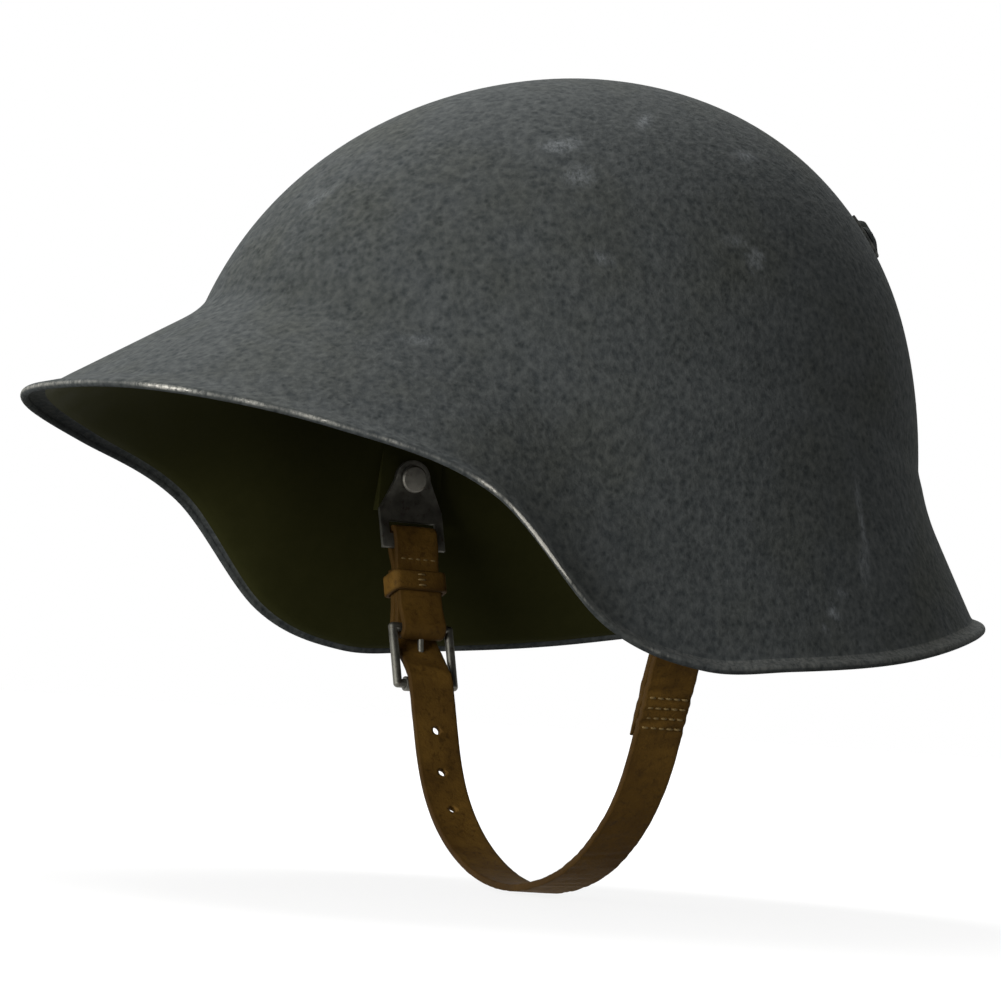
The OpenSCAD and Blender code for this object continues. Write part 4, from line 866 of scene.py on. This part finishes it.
def band_stitching():
    """The row that hems the band's lower edge on the inside, and the two rows of its seam at the rear."""
    rows = []
    for a in np.linspace(0, 2 * math.pi, HEM_STITCHES, endpoint=False):
        rows.append((a, HEM_ROW_Z, band_point(a + 0.01, HEM_ROW_Z, 0) - band_point(a - 0.01, HEM_ROW_Z, 0)))
    for turn in (-SEAM_TURN, SEAM_TURN):
        a = math.pi + math.radians(turn)
        rows += [(a, z, [0, 0, 1]) for z in np.arange(SEAM_LOW_Z, SEAM_TOP_Z, SEAM_STEP)]
    places = [(band_point(a, z, -0.02), along, [-math.sin(a), math.cos(a), 0]) for a, z, along in rows]
    thread = stitches("liner_stitching", places, LINEN_THREAD, thread_r=0.32, length=2.2)
    settle(thread, "root", "liner_leather")


# Crown lace: how far it stands off the tongues away from a hole and close to one, 1 where it just clears them
LACE_FAR, LACE_NEAR = 1.05, 0.9
# The cord: strands, millimetres of lay to a strand, sides of its section and depth of the grooves
CORD_STRANDS, CORD_LAY, CORD_SIDES, CORD_GROOVE = 3, 5.0, 15, 0.14
# Spacing of its points, rounding of its bends, and the frayed ends' length and thickness
CORD_STEP, CORD_SOFT, TAIL_SOFT, FRAYED_L, FRAYED = 0.5, 0.9, 1.2, 1.2, 1.25
# The knot's half width and half height, and how far a turn of it advances
KNOT_WIDE, KNOT_HIGH, KNOT_ADVANCE = 1.9, 1.5, 0.28


def lace_point(a, side):
    """A point of the lace in its row of holes: side is 1 outside the tongues, -1 inside and 0 in a hole."""
    stand = LEATHER_T / 2 + LACE_R + PLAY
    return crown_point(a, LACE_UP, LEATHER_T / 2) + side * stand * crown_normal(a, LACE_UP)


def laid_cord(path, radii):
    """A cord of twisted strands along a path: the radius swells at each strand."""
    side = across_from(path[1] - path[0])[0]
    turn = np.linspace(0, 2 * math.pi, CORD_SIDES, endpoint=False)
    loops = []
    for p, t, r, s in zip(path, unit(np.gradient(path, axis=0)), radii, run_of(path)):
        side = unit(side - (side @ t) * t)
        other = np.cross(t, side)
        strand = np.cos(CORD_STRANDS * (turn - 2 * math.pi * s / (CORD_LAY * CORD_STRANDS)) / 2)
        swell = 1 - CORD_GROOVE + CORD_GROOVE * np.abs(strand)
        ring = (swell * r)[:, None] * (np.cos(turn)[:, None] * side + np.sin(turn)[:, None] * other)
        loops.append(p + ring)
    return loft(loops)


def build_lace():
    """The lace goes in and out of the nine tongues and is knotted over the gap between two of them."""
    step = LACE_HOLE_R * 0.62 / (HEAD_REAR * math.cos(math.radians(LACE_UP)))
    knot_a, knot_up = 0.5 * TONGUE_PITCH, LACE_UP - 6

    def knot_point(turn, stand):
        a = np.array(knot_a + math.radians(turn))
        return crown_point(a, knot_up, LEATHER_T) + stand * crown_normal(a, knot_up)

    route = []
    for k in range(1, TONGUES + 1):
        a, side = k * TONGUE_PITCH, 1 if k % 2 == 0 else -1
        route += [(a - TONGUE_PITCH / 2, -side * LACE_FAR), (a - 3 * step, -side * LACE_FAR),
                  (a - step, -side * LACE_NEAR), (a, 0), (a + step, side * LACE_NEAR),
                  (a + 3 * step, side * LACE_FAR)]
    points = [lace_point(np.array(a), side) for a, side in route[1:]]
    knot = knot_point(0, KNOT_R + PLAY)
    gap = lace_point(np.array(knot_a - math.radians(1)), 0)
    last = lace_point(np.array(knot_a - math.radians(5)), -LACE_FAR)
    path = resample(np.vstack([[knot], points, [last, gap, knot]]), CORD_STEP)
    path = soften(path, CORD_SOFT, CORD_STEP)
    parts = [laid_cord(path, np.full(len(path), LACE_R))]
    # Two tails lie down beside the knot, each a little frayed at its end
    for turn in (-1, 1):
        tail = [knot_point(turn * degrees, stand) for degrees, stand in
                ((0, KNOT_R), (6, KNOT_R * 0.9), (15, LACE_R * 2.2), (24, LACE_R * 1.5), (30, LACE_R * 1.6))]
        tail = soften(resample(tail, CORD_STEP), TAIL_SOFT, CORD_STEP)
        run = run_of(tail)
        parts.append(laid_cord(tail, LACE_R * np.where(run > run[-1] - FRAYED_L, FRAYED, 1)))
    # The knot is one turn of the cord round itself, drawn tight
    normal = crown_normal(np.array(knot_a), knot_up)
    ahead, behind = (crown_point(np.array(knot_a + side), knot_up, 0) for side in (0.02, -0.02))
    first = unit(ahead - behind)
    turn = np.linspace(-0.4 * math.pi, 2.4 * math.pi, 60)[:, None]
    wrap = knot + KNOT_WIDE * np.cos(turn) * np.cross(normal, first)
    wrap = wrap + KNOT_HIGH * np.sin(turn) * normal + first * turn * KNOT_ADVANCE
    parts.append(laid_cord(wrap, np.full(len(wrap), LACE_R * 1.05)))
    settle(make_object("crown_lace_cord", *joined(parts), LINEN_CORD), "root", "lace_cord", "crown_lace")


# Felt spacer pads between the ring and the shell
PAD_SEAT = SEAT_GAP * 1.6
PAD_COLUMNS, PAD_ROWS, PAD_EDGE = 41, 17, 0.16
# How much of its width and height the felt reaches, and how far its sides are pulled in
PAD_REACH, PAD_REACH_UP, PAD_PULL, PAD_PULL_UP = 0.998, 0.995, 0.05, 0.06


def build_pad(name, degrees):
    """A pad that fills the room between ring and shell in its middle, with pulled-in sides and soft edges."""
    middle = math.radians(degrees)
    half = PAD_HALF_W / band_r(np.array(middle), 10)
    across = np.sin(np.linspace(-math.pi / 2, math.pi / 2, PAD_COLUMNS)) * PAD_REACH
    up = np.sin(np.linspace(-math.pi / 2, math.pi / 2, PAD_ROWS)) * PAD_REACH_UP
    u, v = np.meshgrid(across, up, indexing="ij")
    a = middle + half * u * (1 - PAD_PULL * v**2)
    z = (PAD_LOW_Z + PAD_TOP_Z) / 2 + (PAD_TOP_Z - PAD_LOW_Z) / 2 * v * (1 - PAD_PULL_UP * u**4)
    outer = skin(a, z, -STEEL_T - PAD_SEAT)
    inner = band_point(a, z, LEATHER_T + SEAT_GAP + RING_T + PAD_SEAT)
    full = ((1 - np.abs(u) ** 6) * (1 - np.abs(v) ** 5)) ** 0.45
    full = (PAD_EDGE + (1 - PAD_EDGE) * full)[..., None]
    centre, spread = (outer + inner) / 2, (outer - inner) / 2
    loops = np.concatenate([centre + spread * full, (centre - spread * full)[:, ::-1]], axis=1)
    obj = make_object(name + "_felt", *loft(loops, ends="strip"), PAD_FELT)
    settle(obj, "root", "pad_felt", name)


# Chin strap: its sides are straight lines from the hangers' bends; s runs down a side and h outwards
STRAP_DOWN = np.array([-math.sin(STRAP_LEAN), -math.cos(STRAP_LEAN)])
STRAP_OUT = np.array([math.cos(STRAP_LEAN), -math.sin(STRAP_LEAN)])
PLY = STRAP_T / 2 + PLAY / 2
BOW_Z = STRAP_LOW_Z + STRAP_BOW_H
# How far a loop's middle lies below its bar's, where its plies come together, and points in half the bow
BAR_EASE, LOOP_SPREAD, BOW_POINTS = 0.4, 6, 40
# Spacing of a path's points and rounding of its corners
PATH_STEP, PATH_SOFT = 0.8, 0.9
# Corners of a strap's section, and points across its flat
CORNER_R, FLAT_POINTS = 0.6, 13
# Width of a burnished edge, and how dark it is
EDGE_BAND, EDGE_DARK = 1.1, 0.75
# Waves of the leather to a millimetre, how high the broad ones are, and how a pared end is thinned
WRINKLE_RATE, BROAD_RATE, WANDER_RATE, BROAD_H = 0.42, 0.05, 0.03, 0.25
PARED_T, PARED_L = 0.35, 9
# Holes from the free end, and the slot of the prong from the heel bar
HOLES_AT, HOLE_R, PRONG_SLOT = (62, 77, 92), 1.5, (3.4, 12)
# The short strap's notch for the prong's eye, and how far it goes on below the heel bar's loop
NOTCH_HALF_W, NOTCH_BELOW, NOTCH_SPARE = (2 * PRONG_R + 0.8) / 2 + PLAY, 4, 3
# Rows of stitches down each side, and the stitches across a row
LEFT_ROWS, RIGHT_ROWS = (18.5, 21.0, 60.0, 63.2, 66.4, 69.6), (18.2,)
ROW_HALF_W, ROW_STITCHES = 5.6, 5
# Where the keeper's upper edge is, and the rounding of its corners
KEEPER_AT, KEEPER_CORNER = BAR_END + 9, 1.5


def left_side(s, h):
    """A point of the strap's own plane, x and z."""
    return np.array([HANGER_X, BEND_Z]) + s * STRAP_DOWN + h * STRAP_OUT


def right_side(s, h):
    return left_side(s, h) * [-1, 1]


def on_side(side, s, h, w=0.0):
    """The same in space, w across the strap from its middle."""
    x, z = side(s, h)
    return np.array([x, STRAP_Y + w, z])


def side_axes(side):
    """Along, across and outwards on one straight side of the strap."""
    turn = 1 if side is left_side else -1
    along = np.array([STRAP_DOWN[0] * turn, 0, STRAP_DOWN[1]])
    outward = np.array([STRAP_OUT[0] * turn, 0, STRAP_OUT[1]])
    return along, np.array([0.0, 1, 0]), outward


def bow(h):
    """One half of the curved bottom, from the straight side to the middle."""
    touch = left_side(0, h) @ STRAP_OUT + BOW_Z * math.sin(STRAP_LEAN)
    reach = math.sqrt(touch**2 - (STRAP_BOW_H * math.sin(STRAP_LEAN)) ** 2) / math.cos(STRAP_LEAN)
    start = math.atan(STRAP_BOW_H / reach * math.tan(STRAP_LEAN))
    return [np.array([reach * math.cos(t), BOW_Z - STRAP_BOW_H * math.sin(t)])
            for t in np.linspace(start, math.pi / 2, BOW_POINTS)]


def bar_loop(side, s, r, turn):
    """Half a turn of strap round a bar at s: over the bar if turn is 1, under it if turn is -1."""
    return [side(s - turn * r * math.cos(t), turn * r * math.sin(t))
            for t in np.linspace(-math.pi / 2, math.pi / 2, 13)]


def hanger_loop(side):
    """The strap's way up to a hanger's bar, round it and down again."""
    return [side(BAR_END + LOOP_SPREAD, -PLY), side(BAR_END, -LOOP_R),
            *bar_loop(side, BAR_AT + BAR_EASE, LOOP_R, 1),
            side(BAR_END, LOOP_R), side(BAR_END + LOOP_SPREAD, PLY)]


def strap_paths():
    """Middle lines of both straps in their own plane."""
    under = WIRE_R + TURN_GAP + ROLLER_T + PLAY * 1.5 + STRAP_T / 2
    over = WIRE_R + PLAY * 3 + STRAP_T * 1.5
    tip = PLY + STRAP_T + PLAY
    roller_at = HEEL_AT + FRAME_L
    long_path = [left_side(FOLD_END, -PLY), *hanger_loop(left_side), *bow(PLY)]
    long_path += [p * [-1, 1] for p in bow(-under)[-2::-1]]
    # Under the roller, up over the heel bar and on along the plies
    right = [(roller_at + 1.5, -under), (roller_at - 2, -under * 0.9), (roller_at - 5, -under * 0.5),
             (HEEL_AT + 6, over * 0.6), (HEEL_AT + 3, over * 0.9), (HEEL_AT, over), (HEEL_AT - 3, over),
             (HEEL_AT - 6, over * 0.85), (HEEL_AT - 9, tip + 0.2), (HEEL_AT - 12, tip), (BAR_END + 7, tip)]
    long_path += [right_side(s, h) for s, h in right]
    half_way = (BAR_END + HEEL_AT) / 2
    short_path = [right_side(half_way, -PLY), *hanger_loop(right_side), right_side(HEEL_AT - 7, PLY),
                  *bar_loop(right_side, HEEL_AT, WIRE_R + PLAY + STRAP_T / 2, -1),
                  right_side(HEEL_AT - 7, -PLY), right_side(half_way + 1, -PLY)]
    return [soften(resample(p, PATH_STEP), PATH_SOFT, PATH_STEP) for p in (long_path, short_path)]


def strap_sides(path):
    """The direction square to a path at each of its points."""
    tangent = unit(np.gradient(path, axis=0))
    return np.stack([-tangent[:, 1], tangent[:, 0]], -1)


def strap_profile(half_w, half_t):
    """Section of a strap with rounded corners, as pairs across and out."""
    r = min(CORNER_R, half_t * 0.6)
    corner = np.radians([15, 35, 55, 75])
    flat = np.linspace(-half_w + r, half_w - r, FLAT_POINTS)
    points = [(w, -half_t) for w in flat]
    points += [(half_w - r + r * math.sin(t), -half_t + r - r * math.cos(t)) for t in corner]
    points += [(half_w, -half_t + r + 0.01), (half_w, half_t - r - 0.01)]
    points += [(half_w - r + r * math.cos(t), half_t - r + r * math.sin(t)) for t in corner]
    points += [(w, half_t) for w in flat[::-1]]
    points += [(-half_w + r - r * math.sin(t), half_t - r + r * math.cos(t)) for t in corner]
    points += [(-half_w, half_t - r - 0.01), (-half_w, -half_t + r + 0.01)]
    points += [(-half_w + r - r * math.cos(t), -half_t + r - r * math.sin(t)) for t in corner]
    return np.array(points)


def mark_edges(obj, profile, half_w, count):
    """Darkens a strap's burnished edges."""
    near = np.clip((np.abs(profile[:, 0]) - half_w + EDGE_BAND) / EDGE_BAND, 0, 1) * EDGE_DARK
    mark(obj, "edge", np.tile(near, count))


def waves(profile, place, slant, across, seed):
    """Smooth noise over a section, whose place along the strap is given in waves."""
    return np.array([noise.noise(Vector((place + slant * w, w * across, seed))) for w, _ in profile])


def build_strap(name, path, wrinkles, pared, seed):
    """A leather strip along a path in the plane of the strap. wrinkles are (run, half length, depth), and a
    pared strip is thinned towards its first end."""
    run = run_of(path)
    profile = strap_profile(STRAP_W / 2, STRAP_T / 2)
    thin = PARED_T + (1 - PARED_T) * smooth(run / PARED_L) if pared else np.ones(len(run))
    loops = []
    for p, side, s, t in zip(path, strap_sides(path), run, thin):
        depth = sum(d * math.exp(-((s - at) / half) ** 2) for at, half, d in wrinkles)
        ripple = waves(profile, s * WRINKLE_RATE, 0.06, 0.07, seed) * depth
        broad = waves(profile, s * BROAD_RATE, 0, BROAD_RATE, seed + 9) * BROAD_H
        reach = profile[:, 1] * t + ripple + broad
        wander = BROAD_H * noise.noise(Vector((s * WANDER_RATE, 0.5, seed + 4)))
        loops.append(np.stack([p[0] + side[0] * reach, STRAP_Y + profile[:, 0] + wander,
                               p[1] + side[1] * reach], -1))
    obj = make_object(name, *loft(loops), STRAP_HIDE)
    mark_edges(obj, profile, STRAP_W / 2, len(path))
    return obj


def slot_shape(side, s0, s1, half_w, depth):
    """A closed block with round ends, for cutting a slot."""
    along, across, outward = side_axes(side)
    turn = np.linspace(-math.pi / 2, math.pi / 2, 9)
    outline = [(s1 + half_w * math.cos(t), half_w * math.sin(t)) for t in turn]
    outline += [(s0 - half_w * math.cos(t), -half_w * math.sin(t)) for t in turn]
    start = on_side(side, 0, 0)
    return loft([[start + along * s + across * w + outward * h for s, w in outline] for h in (-depth, depth)])


def build_long_strap(path):
    """From the left hanger under the chin, through the buckle and up to the keeper, with spare holes."""
    run = run_of(path)
    end = run[-1]
    bar_run = FOLD_END - BAR_AT + 2
    fold_far = bar_run + (FOLD_END - BAR_AT)
    wrinkles = [(bar_run, 9, 0.3), (fold_far - 5, 8, 1.1), (12, 8, 0.7), (end - 40, 12, 0.5),
                (end / 2, 60, 0.25)]
    obj = build_strap("strap_long_leather", path, wrinkles, True, 3.1)
    cuts = [slot_shape(right_side, HEEL_AT + PRONG_SLOT[0], HEEL_AT + PRONG_SLOT[1], PRONG_R + PLAY, 9)]
    for at in HOLES_AT:
        i = int(np.searchsorted(run, end - at))
        p, side = path[i], strap_sides(path)[i]
        cuts.append(peg([p[0], STRAP_Y, p[1]], [side[0], 0, side[1]], HOLE_R))
    cut(obj, cuts)
    settle(obj, "chinstrap", "strap_leather", "strap_long")


def build_short_strap(path):
    """From the right hanger round the buckle's heel bar, notched for the prong's eye."""
    obj = build_strap("strap_short_leather", path, [(14, 8, 0.35), (60, 8, 0.35)], False, 7.7)
    along, across, outward = side_axes(right_side)
    heel = on_side(right_side, HEEL_AT, 0)
    reach = WIRE_R + PLAY + STRAP_T
    low = reach + NOTCH_BELOW
    corners = [(-reach, -NOTCH_HALF_W), (low, -NOTCH_HALF_W), (low, NOTCH_HALF_W), (-reach, NOTCH_HALF_W)]
    block = [[heel + along * s + across * w + outward * h for s, w in corners]
             for h in (-reach - NOTCH_SPARE, reach + NOTCH_SPARE)]
    cut(obj, [loft(block)])
    settle(obj, "chinstrap", "strap_leather", "strap_short")


def strap_stitching():
    """Saddle stitching through the plies: rows of five, near each bar and at the left ply's end."""
    places = []
    for side, rows in ((left_side, LEFT_ROWS), (right_side, RIGHT_ROWS)):
        across, outward = side_axes(side)[1:]
        for face in (1, -1):
            for s in rows:
                for w in np.linspace(-ROW_HALF_W, ROW_HALF_W, ROW_STITCHES):
                    places.append((on_side(side, s, face * (PLY + STRAP_T / 2), w), across, face * outward))
    thread = stitches("strap_stitching", places, STRAP_THREAD, thread_r=0.36, length=2.3)
    settle(thread, "chinstrap", "strap_leather")


def build_keeper():
    """Leather loop round the plies and the strap's free end, butted and sewn at the back."""
    low = -PLY - STRAP_T / 2 - PLAY
    high = PLY + STRAP_T * 1.5 + PLAY * 2
    along, across, outward = side_axes(right_side)
    start = on_side(right_side, KEEPER_AT, 0)
    half_w = STRAP_W / 2 + PLAY + KEEPER_T / 2
    middle, half_h = (low + high) / 2, (high - low + KEEPER_T) / 2
    w0, h0 = half_w - KEEPER_CORNER, half_h - KEEPER_CORNER
    outline = []
    for cw, ch, begin in ((w0, h0, 0), (-w0, h0, 90), (-w0, -h0, 180), (w0, -h0, 270)):
        outline += [(cw + KEEPER_CORNER * math.cos(t), ch + KEEPER_CORNER * math.sin(t),
                     math.cos(t), math.sin(t))
                    for t in np.radians(np.linspace(begin, begin + 90, 7))]
    profile = strap_profile(KEEPER_L / 2, KEEPER_T / 2)
    loops = [[start + along * (KEEPER_L / 2 + w) + across * (cw + nw * t) + outward * (middle + ch + nh * t)
              for w, t in profile] for cw, ch, nw, nh in outline]
    obj = make_object("strap_keeper_leather", *loft(loops, ends="open", around=True), STRAP_HIDE)
    mark_edges(obj, profile, KEEPER_L / 2, len(loops))
    settle(obj, "keeper", "strap_leather", "strap_keeper")
    back = middle - half_h - KEEPER_T / 2
    places = [(start + along * s + outward * back, across, -outward) for s in (1.6, 3.5, 5.4)]
    thread = stitches("keeper_stitching", places, STRAP_THREAD, thread_r=0.34, length=3)
    settle(thread, "keeper", "strap_leather")


# Metal pieces come from the part itself: node, finish and the rounding of its edges
DRESSED = [("vent_hood_rivets", GRIT_LACQUER, 0.15), ("liner_ring", TINNED_SHEET, 0.15),
           ("liner_lug_rivets", RIVET_STEEL, 0.1), ("liner_band_rivets", RIVET_STEEL, 0.1)]
DRESSED += [("liner_lug_" + corner, INSIDE_ENAMEL_AND_SHADE, 0.25)
            for corner in ("front_left", "front_right", "rear_left", "rear_right")]
DRESSED += [(kind + hand, kind_finish, width) for kind, kind_finish, width in
            (("strap_lug_", INSIDE_ENAMEL_AND_SHADE, 0.3), ("strap_pin_", RIVET_STEEL, 0.12),
             ("strap_hanger_", BLACKENED_STEEL, 0.3)) for hand in ("left", "right")]
DRESSED += [("buckle_frame", BLACKENED_STEEL, 0), ("buckle_prong", BLACKENED_STEEL, 0),
            ("buckle_roller", BLACKENED_STEEL, 0.15)]
WELD_WITHIN, SHARP_ANGLE = 0.002, math.radians(38)


def dress(node, finish, width):
    """Gives one of the part's own solids its finish, with softened edges."""
    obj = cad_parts[node]
    obj.data.materials.clear()
    obj.data.materials.append(finish)
    custom = obj.data.attributes.get("custom_normal")
    if custom:
        obj.data.attributes.remove(custom)
    obj.data.shade_smooth()
    modify(obj, "WELD", merge_threshold=WELD_WITHIN * MM)
    if width:
        round_edges(obj, width, 30)
    modify(obj, "EDGE_SPLIT", use_edge_angle=True, split_angle=SHARP_ANGLE)


# Floor, light and camera
# The floor's half width, and how far it lies below the part
FLOOR_HALF, FLOOR_DROP = 6000.0, 0.6
# The floor's glow from near the helmet to far from it, with the distances in metres
FLOOR_NEAR, FLOOR_FAR, FLOOR_GLOW, FLOOR_FAR_GLOW = 0.25, 0.9, 0.86, 1.1
# The room is brighter in front of the helmet than behind it
ROOM_FRONT, ROOM_REAR = 0.43, 0.22
# Lamps: name, place in metres and power
LAMP_SIZE, LAMP_TARGET = 1.0, (0, 0, -0.02)
LAMPS = [("key", (-1.03, 0.07, 1.58), 30.5), ("front", (0.57, -1.8, 0.17), 25)]
# The camera's place and view were found from the shell's outline in the photo
CAMERA_LENS, CAMERA_SENSOR, CAMERA_CLIP = 146.29, 36, (0.05, 50)
CAMERA_PLACE = (1.1343, -0.6159, -0.1063)
CAMERA_RIGHT, CAMERA_FORWARD = (0.469, 0.8802, 0.0728), (-0.8832, 0.4666, 0.0473)


def white_share(tree):
    """1 for the rays that see the white background: the camera's own, and those that show in gloss."""
    rays = add(tree, "LightPath")
    shown = add(tree, "Math", {"operation": "MAXIMUM"},
                {0: rays.outputs["Is Glossy Ray"], 1: rays.outputs["Is Transmission Ray"]})
    return add(tree, "Math", {"operation": "MAXIMUM"},
               {0: rays.outputs["Is Camera Ray"], 1: shown.outputs[0]}).outputs[0]


def build_floor():
    """White card under the helmet: to the light it is grey and keeps the shadow, to the camera it glows."""
    made, tree, shader, place = new_material("white_card", {"Base Color": linear("#6c6c6b"), "Roughness": 0.9,
                                                        "Specular IOR Level": 0.1})
    apart = add(tree, "VectorMath", {"operation": "LENGTH"}, {0: place})
    far = add(tree, "MapRange", {"From Min": FLOOR_NEAR, "From Max": FLOOR_FAR, "To Min": FLOOR_GLOW,
                                 "To Max": FLOOR_FAR_GLOW}, {"Value": apart.outputs["Value"]})
    level = add(tree, "Math", {"operation": "MULTIPLY"}, {0: far.outputs[0], 1: white_share(tree)})
    glow = add(tree, "Emission", {"Color": (1, 1, 1, 1)}, {"Strength": level.outputs[0]})
    both = add(tree, "AddShader", {}, {0: shader.outputs[0], 1: glow.outputs[0]})
    connect(tree, tree.nodes["Material Output"], {"Surface": both.outputs[0]})
    half, z = FLOOR_HALF, cad_box[0].z / MM - FLOOR_DROP
    corners = [(-half, -half, z), (half, -half, z), (half, half, z), (-half, half, z)]
    make_object("floor", corners, [(0, 1, 2, 3)], made)


def build_room():
    """White all round for the camera, and for the light a room with a brighter and a darker side."""
    world = bpy.data.worlds.new("room")
    bpy.context.scene.world = world
    world.use_nodes = True
    tree = world.node_tree
    background = tree.nodes["Background"]
    toward = add(tree, "SeparateXYZ", {}, {0: add(tree, "TexCoord").outputs["Generated"]})
    room = add(tree, "MapRange", {"From Min": -1, "From Max": 1, "To Min": ROOM_FRONT, "To Max": ROOM_REAR},
               {"Value": toward.outputs["Y"]})
    level = add(tree, "MapRange", {"To Max": 1}, {"Value": white_share(tree), "To Min": room.outputs[0]})
    background.inputs["Color"].default_value = (1, 1, 1, 1)
    connect(tree, background, {"Strength": level.outputs[0]})


def build_lamp(name, place, power):
    lamp = bpy.data.lights.new(name, "AREA")
    lamp.shape, lamp.size, lamp.energy = "DISK", LAMP_SIZE, power
    obj = bpy.data.objects.new(name, lamp)
    obj.location = place
    obj.rotation_euler = (Vector(LAMP_TARGET) - Vector(place)).to_track_quat("-Z", "Y").to_euler()
    bpy.context.scene.collection.objects.link(obj)


def build_camera():
    data = bpy.data.cameras.new("camera")
    data.lens, data.sensor_width = CAMERA_LENS, CAMERA_SENSOR
    data.clip_start, data.clip_end = CAMERA_CLIP
    camera = bpy.data.objects.new("camera", data)
    right, forward = Vector(CAMERA_RIGHT).normalized(), Vector(CAMERA_FORWARD).normalized()
    up = right.cross(forward).normalized()
    turn = Matrix((right, up, -forward)).transposed().to_4x4()
    camera.matrix_world = Matrix.Translation(CAMERA_PLACE) @ turn
    bpy.context.scene.collection.objects.link(camera)
    bpy.context.scene.camera = camera


build_shell()
build_hood()
build_liner()
band_stitching()
build_lace()
for pad_name, azimuth in (("pad_front", 0), ("pad_left", 90), ("pad_rear", 180), ("pad_right", 270)):
    build_pad(pad_name, azimuth)
long_strap_path, short_strap_path = strap_paths()
build_long_strap(long_strap_path)
build_short_strap(short_strap_path)
strap_stitching()
build_keeper()
for node_name, node_finish, edge_width in DRESSED:
    dress(node_name, node_finish, edge_width)
build_floor()
build_room()
for lamp_name, lamp_place, lamp_power in LAMPS:
    build_lamp(lamp_name, lamp_place, lamp_power)
build_camera()
bpy.context.scene.view_settings.view_transform = "Standard"
